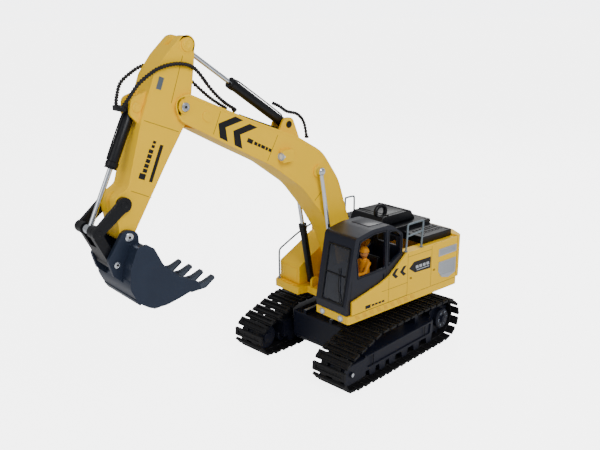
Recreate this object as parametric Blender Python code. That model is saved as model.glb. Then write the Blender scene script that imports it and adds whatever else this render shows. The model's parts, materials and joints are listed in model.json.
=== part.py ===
"""Toy crawler excavator, built as separate pieces on the joints that move it.

The boom points along +X, the cab is on the left (+Y) and +Z is up. Every length below is in
millimetres and the helpers turn it into metres. Shapes are drawn in house coordinates: the slew axis
is x = 0, y = 0 and the ground is z = 0. A moving piece hangs from an empty on its joint's axis.
"""
import math

import bmesh
import bpy
from mathutils import Matrix, Vector

MM = 0.001
GAP = 0.3                      # between pieces that touch
SEGMENTS = 18                  # round a plain cylinder

# Undercarriage
REST_CENTRE_X = 100.76         # puts the resting machine's bounding box over the origin
UNDERCARRIAGE_YAW = 5.3        # degrees that the tracks are turned from the house at rest
SPROCKET_X = -84.7
SPROCKET_OUTER = 27.3          # radius to the ground side of the shoes
IDLER_X = 90.5
IDLER_OUTER = 20.2
IDLER_LIFT = 1.4               # the lower run rises this much towards the idler
FLAT_END_X = 40.0              # where that rise starts
CARRIER_XS = (44.0, -39.0)
TOP_RUN_Z = 57.0
TRACK_GAUGE = 125.6            # between the tracks' centre lines
SHOE_WIDTH = 45.6
SHOE_COUNT = 37
SHOE_HEIGHT = 3.6
BAND = 1.4                     # the belt that joins the shoes
WHEEL_CLEAR = 0.9              # between a wheel and the track round it
ROLLER_XS = (52.8, 35.0, 17.0, -6.5, -30.0, -55.6)
CARBODY_X = (-50.0, 58.0)
CARBODY_Z = (14.0, 50.0)
CARBODY_WALL = 3.0
CARBODY_CLEAR = 2.5            # between the carbody's side and a track
LEG_XS = ((-42.0, -14.0), (16.0, 44.0))
LEG_Z = (17.0, 40.0)
BATTERY = (60.0, 46.0, 15.0)

# Slew ring
RING_OUTER = 33.0
RING_INNER = 20.0
RING_HEIGHT = 10.6

# House
HOUSE_WIDTH = 154.0
DECK_Z = 72.0
DECK_THICK = 8.6
HOUSE_FRONT = 78.0
HOUSE_REAR = -104.0
TAIL_REAR = -121.0
PANEL_TOP = 132.0
PANEL_THICK = 2.6
LEDGE_WIDTH = 15.0
HOOD_TOP = 140.0
HOOD_RIDGE = 146.0
CAB_WIDTH = 49.0
CAB_TOP = 169.0
CAB_REAR = -8.0
CAB_WALL = 2.6
TANK_Y = (-64.0, -29.0)
TANK_FRONT = 54.0
STEP_FRONT = 62.0

# Boom, arm and bucket, with the places of their pivots as (x, z)
BOOM_PIVOT = (8.0, 98.0)
BOOM_WIDTH = 34.0
FORK_PLATE = 3.2
ARM_PIVOT = (226.0, 308.0)
ARM_WIDTH = BOOM_WIDTH - 2 * FORK_PLATE - 2 * GAP
FORK_REACH = 25.0
BUCKET_PIVOT = (289.3, 200.4)
BUCKET_WIDTH = 64.0
BUCKET_WALL = 2.2
EAR_THICK = 4.2
LINK_PIVOT = (291.0, 229.6)
LINK_END = (317.0, 209.0)
BUCKET_LINK_PIN = (302.7, 177.9)
LINK_THICK = 4.4
PIN_RADIUS = 2.6

# Cylinders: (foot, eye) of each
BOOM_CYLINDER = ((42.0, 86.0), (67.0, 227.0))
BOOM_CYLINDER_Y = 22.2
BOOM_BARREL_RADIUS = 4.1
ARM_CYLINDER = ((98.5, 278.5), (217.5, 361.4))
BUCKET_CYLINDER = ((268.2, 310.5), LINK_END)
BUCKET_TUCKED = (309.3, 199.5)    # where that rod's eye goes when the bucket is tucked in
BARREL_RADIUS = 5.0
LUG_INNER = BARREL_RADIUS + 2 * GAP    # from the middle to the inner face of a cylinder's lug
ROD_RADIUS = 2.3
BORE_CLEARANCE = 0.35
HOSE_RADIUS = 1.7

SIDES = (("left", 1), ("right", -1))


# --- Scene and materials -------------------------------------------------------------------------

def clear_scene():
    for old in list(bpy.data.objects):
        bpy.data.objects.remove(old)


def new_collection(name):
    collection = bpy.data.collections.new(name)
    bpy.context.scene.collection.children.link(collection)
    return collection


def material(name, colour, roughness, metallic=0.0):
    made = bpy.data.materials.new(name)
    made.use_nodes = True
    shader = made.node_tree.nodes["Principled BSDF"]
    shader.inputs["Base Color"].default_value = (*colour, 1)
    shader.inputs["Roughness"].default_value = roughness
    shader.inputs["Metallic"].default_value = metallic
    made.diffuse_color = (*colour, 1)
    return made


def empty(name, at, parent=None):
    """An empty on a joint's axis, at a place given in its parent's house coordinates."""
    made = bpy.data.objects.new(name, None)
    MACHINE.objects.link(made)
    origin = Vector(parent["place"]) if parent else Vector()
    made["place"] = at
    made.location = (Vector(at) - origin) * MM
    made.parent = parent
    made.empty_display_size = 0.02
    return made


def pivot(name, xz, parent, y=0.0):
    return empty(name, (xz[0], y, xz[1]), parent)


# --- Shapes, all in house coordinates ------------------------------------------------------------

def to_mesh(shape):
    """Swap a shape that draws itself, with its modifiers, for the closed mesh that it draws."""
    graph = bpy.context.evaluated_depsgraph_get()
    mesh = bpy.data.meshes.new_from_object(shape.evaluated_get(graph))
    mesh.transform(shape.matrix_world)
    name = shape.name
    bpy.data.objects.remove(shape)
    return tidy(name, mesh)


def tidy(name, mesh):
    bm = bmesh.new()
    bm.from_mesh(mesh)
    bmesh.ops.remove_doubles(bm, verts=bm.verts, dist=1e-6)
    bmesh.ops.recalc_face_normals(bm, faces=bm.faces)
    bm.to_mesh(mesh)
    bm.free()
    shape = bpy.data.objects.new(name, mesh)
    CUTTERS.objects.link(shape)
    return shape


def box(name, x, y, z):
    """A box between the two values of x, of y and of z."""
    bm = bmesh.new()
    bmesh.ops.create_cube(bm, size=1.0)
    size = Vector((x[1] - x[0], y[1] - y[0], z[1] - z[0]))
    centre = Vector((x[0] + x[1], y[0] + y[1], z[0] + z[1])) / 2
    bmesh.ops.transform(bm, verts=bm.verts, matrix=Matrix.Diagonal(size * MM).to_4x4())
    bmesh.ops.translate(bm, verts=bm.verts, vec=centre * MM)
    mesh = bpy.data.meshes.new(name)
    bm.to_mesh(mesh)
    bm.free()
    return tidy(name, mesh)


def bar(name, start, end, radius, segments=SEGMENTS, end_radius=None):
    """A round bar, or a cone, from one point to another."""
    start, end = Vector(start), Vector(end)
    along = end - start
    bm = bmesh.new()
    second = radius if end_radius is None else end_radius
    bmesh.ops.create_cone(bm, cap_ends=True, segments=segments, radius1=radius * MM,
                          radius2=second * MM, depth=along.length * MM)
    turn = along.to_track_quat("Z", "Y").to_matrix().to_4x4()
    bmesh.ops.transform(bm, verts=bm.verts, matrix=turn)
    bmesh.ops.translate(bm, verts=bm.verts, vec=(start + end) / 2 * MM)
    mesh = bpy.data.meshes.new(name)
    bm.to_mesh(mesh)
    bm.free()
    return tidy(name, mesh)


def disc(name, xz, radius, y, segments=SEGMENTS):
    """A cylinder along Y, about (x, z), between the two values of y."""
    return bar(name, (xz[0], y[0], xz[1]), (xz[0], y[1], xz[1]), radius, segments)


def ball(name, centre, radius, stretch=(1, 1, 1)):
    bm = bmesh.new()
    bmesh.ops.create_uvsphere(bm, u_segments=10, v_segments=7, radius=radius * MM)
    bmesh.ops.transform(bm, verts=bm.verts, matrix=Matrix.Diagonal(stretch).to_4x4())
    bmesh.ops.translate(bm, verts=bm.verts, vec=Vector(centre) * MM)
    mesh = bpy.data.meshes.new(name)
    bm.to_mesh(mesh)
    bm.free()
    return tidy(name, mesh)


def rounded(corners, steps=3):
    """An outline through (a, b, radius) corners, each one rounded off as an arc."""
    outline = []
    for index, (a, b, radius) in enumerate(corners):
        here = Vector((a, b))
        before = (Vector(corners[index - 1][:2]) - here).normalized()
        after = (Vector(corners[(index + 1) % len(corners)][:2]) - here).normalized()
        if radius == 0:
            outline.append(here)
            continue
        half = before.angle(after) / 2
        centre = here + (before + after).normalized() * radius / math.sin(half)
        start = here + before * radius / math.tan(half) - centre
        turn = start.angle_signed(here + after * radius / math.tan(half) - centre)
        for step in range(steps + 1):
            outline.append(centre + start @ Matrix.Rotation(turn * step / steps, 2))
    return outline


def sheet(name, outlines, low, high, plane="XZ"):
    """A flat piece: closed outlines, the inner ones as holes, from low to high across their plane."""
    curve = bpy.data.curves.new(name, "CURVE")
    curve.dimensions = "2D"
    curve.fill_mode = "BOTH"
    curve.extrude = (high - low) / 2 * MM
    for outline in outlines:
        spline = curve.splines.new("POLY")
        spline.points.add(len(outline) - 1)
        for point, place in zip(spline.points, outline):
            point.co = (place[0] * MM, place[1] * MM, 0, 1)
        spline.use_cyclic_u = True
    shape = bpy.data.objects.new(name, curve)
    CUTTERS.objects.link(shape)
    middle = (low + high) / 2 * MM
    if plane == "XZ":
        shape.matrix_world = Matrix.Translation((0, middle, 0)) @ Matrix.Rotation(math.pi / 2, 4, "X")
    else:
        shape.matrix_world = Matrix.Translation((0, 0, middle))
    bpy.context.view_layer.update()
    return to_mesh(shape)


def slab(name, corners, y):
    """A plate with a rounded outline in XZ, between the two values of y."""
    return sheet(name, [rounded(corners)], y[0], y[1])


def tube(name, points, radius, resolution=2):
    """A tube through the points, smoothed between them."""
    curve = bpy.data.curves.new(name, "CURVE")
    curve.dimensions = "3D"
    curve.bevel_depth = radius * MM
    curve.bevel_resolution = resolution
    curve.use_fill_caps = True
    spline = curve.splines.new("POLY")
    spline.points.add(len(points) - 1)
    for point, place in zip(spline.points, points):
        point.co = (*(Vector(place) * MM), 1)
    shape = bpy.data.objects.new(name, curve)
    CUTTERS.objects.link(shape)
    bpy.context.view_layer.update()
    return to_mesh(shape)


def smooth_route(points, steps=4):
    """Points along a Catmull-Rom curve through the given ones."""
    ends = [2 * Vector(points[0]) - Vector(points[1])]
    route = ends + [Vector(point) for point in points]
    route.append(2 * route[-1] - route[-2])
    smooth = []
    for before, start, end, after in zip(route, route[1:], route[2:], route[3:]):
        for step in range(steps):
            t = step / steps
            smooth.append(0.5 * (2 * start + (end - before) * t
                                 + (2 * before - 5 * start + 4 * end - after) * t ** 2
                                 + (3 * start - before - 3 * end + after) * t ** 3))
    smooth.append(route[-2])
    return smooth


def bent_rail(points, corner=4.0):
    """A rail's points with each inner corner cut by two more, so that the tube bends round it."""
    route = [Vector(points[0])]
    for before, here, after in zip(points, points[1:], points[2:]):
        here = Vector(here)
        start = here + (Vector(before) - here).normalized() * corner
        end = here + (Vector(after) - here).normalized() * corner
        for step in range(3):
            t = step / 2
            route.append(start * (1 - t) ** 2 + here * 2 * t * (1 - t) + end * t ** 2)
    route.append(Vector(points[-1]))
    return route


def boolean(target, tools, operation):
    for tool in tools:
        change = target.modifiers.new(tool.name, "BOOLEAN")
        change.operation = operation
        change.solver = "EXACT"
        change.object = tool
    return target


def unite(target, *tools):
    return boolean(target, tools, "UNION")


def cut(target, *tools):
    return boolean(target, tools, "DIFFERENCE")


def bake(shape):
    """Apply a shape's modifiers, for a shape that others are cut from or joined to."""
    bpy.context.view_layer.update()
    return to_mesh(shape)


def finish(shape, name, made_of, body):
    """Make a shape one of the machine's pieces, hung from its body's empty."""
    bpy.context.view_layer.update()
    piece = to_mesh(shape)
    CUTTERS.objects.unlink(piece)
    MACHINE.objects.link(piece)
    piece.name = name
    piece.data.name = name
    piece.data.materials.clear()
    piece.data.materials.append(made_of)
    piece.parent = body
    piece.location = -Vector(body["place"]) * MM
    return piece


# --- Undercarriage -------------------------------------------------------------------------------

def belt(circles, steps=9):
    """The outline of a belt round circles given as (x, z, radius), anticlockwise seen from the right."""
    outline = []
    count = len(circles)
    for index, (x, z, radius) in enumerate(circles):
        angles = []
        for other in (circles[index - 1], circles[(index + 1) % count]):
            forward = other is not circles[index - 1]
            start, end = ((x, z, radius), other) if forward else (other, (x, z, radius))
            across = Vector((end[0] - start[0], end[1] - start[1]))
            lean = math.acos((start[2] - end[2]) / across.length)
            angles.append(math.atan2(across.y, across.x) - lean)
        first, last = angles
        while last < first:
            last += 2 * math.pi
        for step in range(steps + 1):
            angle = first + (last - first) * step / steps
            outline.append(Vector((x + radius * math.cos(angle), z + radius * math.sin(angle))))
    return outline


def track_circles(inset):
    """Circles that the track runs round, at a depth of inset inside its outer face."""
    sprocket = (SPROCKET_X, SPROCKET_OUTER, SPROCKET_OUTER - inset)
    bend = 8.0
    idler = (IDLER_X, IDLER_OUTER + IDLER_LIFT, IDLER_OUTER - inset)
    carriers = [(x, TOP_RUN_Z - bend, bend - inset) for x in CARRIER_XS]
    return [sprocket, (FLAT_END_X, bend, bend - inset), idler, *carriers]


def along_belt(outline, count):
    """Evenly spaced (point, outward direction) pairs round a closed outline."""
    closed = outline + [outline[0]]
    lengths = [0.0]
    for start, end in zip(closed, closed[1:]):
        lengths.append(lengths[-1] + (end - start).length)
    places = []
    segment = 0
    for index in range(count):
        want = lengths[-1] * index / count
        while lengths[segment + 1] <= want:
            segment += 1
        start, end = closed[segment], closed[segment + 1]
        share = (want - lengths[segment]) / (lengths[segment + 1] - lengths[segment])
        along = (end - start).normalized()
        places.append((start.lerp(end, share), Vector((along.y, -along.x))))
    return places


def track_outline():
    """The web's outer outline with one flat shoe standing on it for each link."""
    fifths = along_belt(belt(track_circles(SHOE_HEIGHT)), SHOE_COUNT * 5)
    outline = []
    for index in range(SHOE_COUNT):
        start, end = fifths[index * 5], fifths[index * 5 + 4]
        outline.append(start[0])
        outline.append(start[0] + start[1] * SHOE_HEIGHT)
        outline.append(end[0] + end[1] * SHOE_HEIGHT)
        outline.append(end[0])
    return outline


def track(side, sign):
    middle = sign * TRACK_GAUGE / 2
    low, high = middle - SHOE_WIDTH / 2, middle + SHOE_WIDTH / 2
    shape = sheet("track", [track_outline(), belt(track_circles(SHOE_HEIGHT + BAND))], low, high)
    finish(shape, f"track_{side}", RUBBER, UNDERCARRIAGE)


def track_frame(side, sign):
    """The side frame inside a track, with its roller guards and the two posts of the top run."""
    inner = TRACK_GAUGE / 2 - SHOE_WIDTH / 2 + 6.0
    outer = TRACK_GAUGE / 2 + SHOE_WIDTH / 2 - 6.5
    band = SHOE_HEIGHT + BAND
    y = sorted((sign * inner, sign * outer))
    rear = SPROCKET_X + SPROCKET_OUTER - 5.0
    front = IDLER_X - IDLER_OUTER - 4.0
    frame = slab("frame", [(rear, 14.5, 3), (front, 14.5, 1), (front, 34.0, 1), (rear, 34.0, 3)], y)
    face = sign * outer
    recess_y = sorted((face - sign * 1.6, face + sign))
    recess = slab("recess", [(rear + 6, 17.5, 2), (front - 4, 17.5, 2), (front - 4, 30.5, 2),
                             (rear + 4, 30.5, 2)], recess_y)
    tools = []
    for x in ROLLER_XS:
        rise = IDLER_LIFT * max(0, x + 5 - FLAT_END_X) / (IDLER_X - FLAT_END_X)
        foot = band + 2 * GAP + rise
        guard = [(x - 6.5, 16, 0), (x - 4.5, foot, 2), (x + 4.5, foot, 2), (x + 6.5, 16, 0)]
        tools.append(slab("guard", guard, (y[0] + 0.5, y[1] - 0.5)))
    for x in CARRIER_XS:
        post_y = sorted((sign * (inner + 9), sign * (outer - 8)))
        post = [(x - 3.2, 32, 0), (x + 3.2, 32, 0), (x + 2.4, TOP_RUN_Z - band - GAP, 1.5),
                (x - 2.4, TOP_RUN_Z - band - GAP, 1.5)]
        tools.append(slab("post", post, post_y))
    finish(cut(unite(frame, *tools), recess), f"track_frame_{side}", NAVY, UNDERCARRIAGE)


def idler_group(side, sign):
    """The front wheel, and the yoke cover with its axle screw outside it."""
    centre_z = IDLER_OUTER + IDLER_LIFT
    band = SHOE_HEIGHT + BAND
    middle = TRACK_GAUGE / 2
    outer = middle + SHOE_WIDTH / 2 - 6.5
    radius = IDLER_OUTER - band - WHEEL_CLEAR / 2
    turning = pivot(f"idler_axis_{side}", (IDLER_X, centre_z), UNDERCARRIAGE, sign * middle)
    rim_y = sorted((sign * (middle - 13), sign * (middle + 6)))
    rim = disc("rim", (IDLER_X, centre_z), radius, rim_y, 28)
    hub_y = sorted((sign * (middle - 15), sign * (outer - 7.0 - GAP)))
    hub = disc("hub", (IDLER_X, centre_z), 6.0, hub_y)
    finish(unite(rim, hub), f"front_idler_{side}", NAVY, turning)
    cover_y = sorted((sign * (outer - 7.0), sign * (outer + 0.8)))
    rear = IDLER_X - IDLER_OUTER - 4.0 + GAP
    cover = slab("cover", [(rear, 10, 1), (IDLER_X + 7, 9, 3), (IDLER_X + 12, 14.5, 3),
                           (IDLER_X + 12, 28, 3), (IDLER_X + 9, 31.5, 2), (rear, 31.5, 1)], cover_y)
    screw_y = sorted((sign * (outer - 2), sign * (outer + 3.0)))
    screw = disc("screw", (IDLER_X, centre_z - 1), 3.0, screw_y, 12)
    finish(unite(cover, screw), f"idler_cover_{side}", NAVY, UNDERCARRIAGE)


def sprocket(side, sign):
    """The toothed drive wheel with its bolted hub, and the motor that turns it from inside."""
    band = SHOE_HEIGHT + BAND
    middle = TRACK_GAUGE / 2
    centre = (SPROCKET_X, SPROCKET_OUTER)
    tip = SPROCKET_OUTER - band - WHEEL_CLEAR
    teeth = 12
    outline = []
    for index in range(teeth * 4):
        angle = math.tau * index / (teeth * 4)
        radius = tip if index % 4 < 2 else tip - 3.4
        outline.append((centre[0] + radius * math.cos(angle), centre[1] + radius * math.sin(angle)))
    wheel_y = sorted((sign * (middle - 6), sign * (middle + 8)))
    wheel = sheet("wheel", [outline], *wheel_y)
    hub_y = sorted((sign * (middle + 4), sign * (middle + 15.5)))
    hub = disc("hub", centre, 11.5, hub_y)
    boss_y = sorted((sign * (middle + 10), sign * (middle + 18)))
    boss = disc("boss", centre, 5.0, boss_y, 16)
    bolts = []
    for index in range(6):
        angle = math.tau * index / 6
        spot = (centre[0] + 8.3 * math.cos(angle), centre[1] + 8.3 * math.sin(angle))
        bolt_y = sorted((sign * (middle + 14), sign * (middle + 16.6)))
        bolts.append(disc("bolt", spot, 1.4, bolt_y, 8))
    turning = pivot(f"sprocket_axis_{side}", centre, UNDERCARRIAGE, sign * middle)
    finish(unite(wheel, hub, boss, *bolts), f"drive_sprocket_{side}", NAVY, turning)
    motor_y = sorted((sign * (middle - SHOE_WIDTH / 2 + 1), sign * (middle - 6 - GAP)))
    case = disc("case", centre, 13.0, motor_y)
    end = SPROCKET_X + SPROCKET_OUTER - 5.0 - GAP
    tail = slab("tail", [(SPROCKET_X - 4, SPROCKET_OUTER - 8, 2), (end, SPROCKET_OUTER - 8, 2),
                         (end, SPROCKET_OUTER + 6, 2), (SPROCKET_X - 4, SPROCKET_OUTER + 6, 2)],
                (motor_y[0] + 0.5, motor_y[1] - 0.5))
    finish(unite(case, tail), f"drive_motor_{side}", NAVY, UNDERCARRIAGE)


def carbody():
    """The centre block: a hollow case with four legs to the track frames and the ring's seat."""
    half = TRACK_GAUGE / 2 - SHOE_WIDTH / 2 - CARBODY_CLEAR
    reach = TRACK_GAUGE / 2 - SHOE_WIDTH / 2 + 6.0 - GAP
    low, high = CARBODY_Z
    rear, front = CARBODY_X
    case = slab("case", [(rear + 8, low, 2), (front - 4, low, 2), (front, low + 6, 2), (front, high, 2),
                         (rear, high, 2), (rear, low + 8, 2)], (-half, half))
    tools = []
    for x in LEG_XS:
        leg = slab("leg", [(x[0] - 3, LEG_Z[0], 2), (x[1] + 3, LEG_Z[0], 2), (x[1], LEG_Z[1], 2),
                           (x[0], LEG_Z[1], 2)], (-reach, reach))
        tools.append(leg)
    seat = bar("seat", (0, 0, high - 1), (0, 0, DECK_Z - RING_HEIGHT - GAP), RING_OUTER + 2, 40)
    tools.append(seat)
    for y in (-20.0, 20.0):
        tools.append(box("rib", (rear + 2, front - 1), (y - 2, y + 2), (high - 1, high + 4)))
    pocket = box("pocket", (-BATTERY[0] / 2 - 2, BATTERY[0] / 2 + 2),
                 (-BATTERY[1] / 2 - 2, BATTERY[1] / 2 + 2), (low - 2, high - CARBODY_WALL))
    finish(cut(unite(case, *tools), pocket), "carbody", NAVY, UNDERCARRIAGE)


def belly_pieces():
    low = CARBODY_Z[0]
    half = (BATTERY[0] / 2 + 2 - GAP, BATTERY[1] / 2 + 2 - GAP)
    hatch = box("hatch", (-half[0], half[0]), (-half[1], half[1]), (low + 1.0, low + 3.0))
    grip = box("grip", (half[0] - 14, half[0] - 6), (-8, 8), (low - 0.6, low + 2))
    finish(unite(hatch, grip), "battery_hatch", NAVY, UNDERCARRIAGE)
    floor = low + 3.0 + GAP
    length, width, height = BATTERY
    cells = []
    for index in range(3):
        y = (index - 1) * (width / 3)
        middle = floor + height / 2 + 0.6
        cells.append(bar("cell", (-length / 2 + 2, y, middle), (length / 2 - 2, y, middle),
                         height / 2 + 0.4, 16))
    tray = box("tray", (-length / 2, length / 2), (-width / 2, width / 2), (floor, floor + height * 0.45))
    finish(unite(tray, *cells), "battery_pack", CELL, UNDERCARRIAGE)


def ring(name, low, high, outer, inner, made_of, body):
    shape = bar("ring", (0, 0, low), (0, 0, high), outer, 40)
    hole = bar("hole", (0, 0, low - 1), (0, 0, high + 1), inner, 32)
    finish(cut(shape, hole), name, made_of, body)


# --- House ---------------------------------------------------------------------------------------

def deck():
    """The turntable plate, its step plate in front and the brackets that carry the boom."""
    side = HOUSE_WIDTH / 2
    inner = side - CAB_WIDTH - 1
    plan = [(HOUSE_REAR - 13, side - 12, 14), (HOUSE_REAR, side, 6), (HOUSE_FRONT, side, 3),
            (HOUSE_FRONT, inner, 1), (50, inner, 1), (48, TANK_Y[1] + 8, 1), (STEP_FRONT, TANK_Y[1] + 6, 1),
            (STEP_FRONT, TANK_Y[0], 2), (40, -side, 3), (HOUSE_REAR, -side, 6),
            (HOUSE_REAR - 13, -side + 12, 14)]
    plate = sheet("plate", [rounded(plan)], DECK_Z, DECK_Z + DECK_THICK, "XY")
    top = DECK_Z + DECK_THICK
    tools = []
    for sign in (1, -1):
        inside = sign * (BOOM_WIDTH / 2 + 1.0)
        cheek_y = sorted((inside, inside + sign * 3.2))
        x, z = BOOM_PIVOT
        cheek = [(x - 20, top - 1, 0), (x + 16, top - 1, 0), (x + 9, z + 9, 8), (x - 9, z + 9, 8)]
        tools.append(slab("cheek", cheek, cheek_y))
        foot_x, foot_z = BOOM_CYLINDER[0]
        lug_outer = BOOM_CYLINDER_Y - BOOM_BARREL_RADIUS - GAP
        lug_y = sorted((sign * (lug_outer - 3.0), sign * lug_outer))
        lug = [(foot_x - 7, top - 1, 0), (foot_x + 5, top - 1, 0), (foot_x + 5, foot_z + 5, 4.5),
               (foot_x - 6, foot_z + 5, 4.5)]
        tools.append(slab("lug", lug, lug_y))
    reach = BOOM_WIDTH / 2 + 6
    bore = disc("bore", BOOM_PIVOT, PIN_RADIUS + GAP, (-reach, reach), 20)
    finish(cut(unite(plate, *tools), bore), "deck", YELLOW, HOUSE)


def side_panel(side, sign):
    """A body side: a wall with a ledge along its top. The left one has a slanted front under the cab."""
    outer = sign * HOUSE_WIDTH / 2
    bottom = DECK_Z + DECK_THICK + GAP
    wall_y = sorted((outer, outer - sign * PANEL_THICK))
    rear = HOUSE_REAR + GAP
    if sign > 0:
        front = [(HOUSE_FRONT - 6, bottom, 0), (HOUSE_FRONT - 6, 96, 1), (30, 106, 6), (14, 112, 8),
                 (-13, PANEL_TOP, 1)]
    else:
        front = [(CAB_REAR, bottom, 0), (CAB_REAR, PANEL_TOP, 1)]
    wall = slab("wall", [(rear, bottom, 0), *front, (rear, PANEL_TOP, 1)], wall_y)
    ledge_y = sorted((outer - sign * 1.0, outer - sign * LEDGE_WIDTH))
    ledge_front = -15.0 if sign > 0 else CAB_REAR
    ledge = box("ledge", (rear, ledge_front), ledge_y, (PANEL_TOP - 5, PANEL_TOP - 1))
    finish(unite(wall, ledge), f"side_panel_{side}", YELLOW, HOUSE)


def counterweight():
    side = HOUSE_WIDTH / 2
    bottom = DECK_Z + DECK_THICK + GAP
    plan = [(HOUSE_REAR, -side, 1), (HOUSE_REAR, side, 1), (HOUSE_REAR - 6, side, 6),
            (TAIL_REAR, side - 22, 24), (TAIL_REAR, -side + 22, 24), (HOUSE_REAR - 6, -side, 6)]
    block = sheet("block", [rounded(plan)], bottom, PANEL_TOP + 1.5, "XY")
    finish(block, "counterweight", YELLOW, HOUSE)


def engine_hood():
    """The black hood, with its raised middle, over the engine bay."""
    half = HOUSE_WIDTH / 2 - LEDGE_WIDTH + 6
    rear, front = HOUSE_REAR + 1.5, -18.0
    base = PANEL_TOP - 1 + GAP
    low = box("low", (rear, front - 32), (-half, half), (base, HOOD_TOP))
    ridge = box("ridge", (rear, front), (-36, 36), (base, HOOD_RIDGE))
    under = box("under", (rear + 5, front - 5), (-31, 31), (base - 1, base + 5))
    finish(cut(unite(low, ridge), under), "engine_hood", BLACK, HOUSE)
    low_z = HOOD_RIDGE + GAP
    lump = slab("lump", [(-88, low_z, 0), (-24, low_z, 0), (-30, 158, 3), (-80, 158, 3)], (-26, 24))
    finish(lump, "air_intake_box", BLACK, HOUSE)
    arch = [(-46, 12, 158 + GAP), (-46, 12, 165), (-38, 12, 168.5), (-30, 12, 165), (-30, 12, 158 + GAP)]
    finish(tube("arch", smooth_route(arch), 2.6), "lifting_loop", BLACK, HOUSE)


def tool_box():
    bottom = DECK_Z + DECK_THICK + GAP
    body = slab("body", [(CAB_REAR + GAP, bottom, 0), (TANK_FRONT, bottom, 1), (TANK_FRONT, 103, 3),
                         (26, 118, 5), (6, 130, 5), (CAB_REAR + GAP, PANEL_TOP, 1)], TANK_Y)
    finish(body, "tool_box", YELLOW, HOUSE)


def cab_outline(inset):
    """The cab's side view, drawn inset from its outer face."""
    floor = DECK_Z + DECK_THICK + GAP
    return [(CAB_REAR + inset, floor + inset, 1), (HOUSE_FRONT - inset, floor + inset, 1),
            (HOUSE_FRONT + 1 - inset, 90, 3), (65.5 - inset, CAB_TOP - 5 - inset, 5),
            (40, CAB_TOP - inset, 40), (12, CAB_TOP - inset, 14), (CAB_REAR + inset, 155 - inset, 4)]


def cab():
    side = HOUSE_WIDTH / 2 - PANEL_THICK - GAP
    right = HOUSE_WIDTH / 2 - CAB_WIDTH
    shell = slab("shell", cab_outline(0), (right, side))
    room = slab("room", cab_outline(CAB_WALL), (right + CAB_WALL, side - CAB_WALL))
    front_window = [(20, 122, 3), (60, 120, 3), (62, 140, 3), (58, 158, 4), (38, 163, 6), (20, 163, 2)]
    rear_window = [(-4.5, 134, 3), (13.5, 124, 2), (13.5, 161, 2), (3, 160, 6), (-4.5, 153, 4)]
    through = (right - 2, side + 2)
    pane_y = (right + 8, side - 4)
    pane = slab("pane", [(70, 91, 0), (90, 91, 0), (84, 153, 0), (58, 153, 0)], pane_y)
    rear_opening = box("rear_opening", (CAB_REAR - 3, CAB_REAR + 5), (right + 10, side - 8), (140, 150))
    finish(cut(shell, room, slab("door_window", front_window, through),
               slab("side_window", rear_window, through), pane, rear_opening), "cab_shell", NAVY_CAB, HOUSE)
    glass_y = (pane_y[0] + GAP, pane_y[1] - GAP)
    glass = slab("glass", [(76.2, 91 + GAP, 0), (78.2, 91 + GAP, 0), (67.2, 153 - GAP, 0),
                           (65.2, 153 - GAP, 0)], glass_y)
    finish(glass, "windshield", GLASS, HOUSE)
    middle = (right + side) / 2
    floor = DECK_Z + DECK_THICK + CAB_WALL + 2 * GAP
    seat = slab("seat", [(14, floor, 1), (38, floor, 1), (38, floor + 18, 3), (22, floor + 18, 2),
                         (19, floor + 46, 3), (13, floor + 46, 3)], (middle - 11, middle + 11))
    finish(seat, "driver_seat", BLACK, HOUSE)
    driver(middle, floor + 18 + GAP)


def driver(y, seat_top):
    """A plain toy figure: torso, legs, arms on the levers and a ball of a head."""
    hips = (29, y, seat_top + 5)
    torso = bar("torso", hips, (28, y, seat_top + 25), 7.0, 12, 5.5)
    head = ball("head", (28.5, y, seat_top + 33), 5.6, (0.9, 0.85, 1.15))
    neck = bar("neck", (28, y, seat_top + 23), (28, y, seat_top + 30), 2.6, 8)
    limbs = []
    for sign in (1, -1):
        shoulder = (28.5, y + sign * 6.5, seat_top + 22)
        elbow = (36, y + sign * 8.5, seat_top + 12)
        hand = (48, y + sign * 7.0, seat_top + 13)
        limbs.append(bar("upper_arm", shoulder, elbow, 2.7, 8))
        limbs.append(bar("forearm", elbow, hand, 2.4, 8))
        limbs.append(ball("elbow", elbow, 2.7))
        limbs.append(ball("shoulder", shoulder, 3.1))
        knee = (50, y + sign * 5.0, seat_top + 3.5)
        limbs.append(bar("thigh", (30, y + sign * 4.0, seat_top + 3.5), knee, 3.2, 8))
        limbs.append(bar("shin", knee, (53, y + sign * 5.0, seat_top - 14), 2.8, 8))
    finish(unite(torso, neck, head, *limbs), "driver", VEST, HOUSE)


def headlights():
    for name, y in (("right", 38.0), ("left", 66.0)):
        z = DECK_Z + DECK_THICK / 2
        start, end = (HOUSE_FRONT + GAP, y, z), (HOUSE_FRONT + 1.8, y, z)
        finish(bar("lamp", start, end, 2.8, 16), f"headlight_{name}", LAMP, HOUSE)


def handrails():
    """Bent rails: on the left ledge, at the front of the tool box and beside the boom."""
    radius = 1.1
    ledge = PANEL_TOP + GAP
    y = HOUSE_WIDTH / 2 - 3
    left = bent_rail([(-14, y, ledge), (-16, y, 161), (-42, y, 163), (-40, y, ledge)])
    bar_low = bar("bar", (-15.3, y, 150), (-40.8, y, 152), radius, 10)
    finish(unite(tube("rail", left, radius), bar_low), "handrail_left", RAIL, HOUSE)
    y = TANK_Y[0] + 3
    step = DECK_Z + DECK_THICK + GAP
    front = bent_rail([(58, y, step), (58, y, 118), (30, y + 6, 136), (2, y + 12, 148),
                       (2, y + 12, PANEL_TOP + 2)])
    finish(tube("rail", front, radius), "handrail_right", RAIL, HOUSE)
    y = TANK_Y[1] - 1
    inner = bent_rail([(-21, y, HOOD_RIDGE + GAP), (-21, y, 173), (-36, y, 173),
                       (-36, y, HOOD_RIDGE + GAP)])
    finish(tube("rail", inner, radius), "handrail_middle", RAIL, HOUSE)


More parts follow.
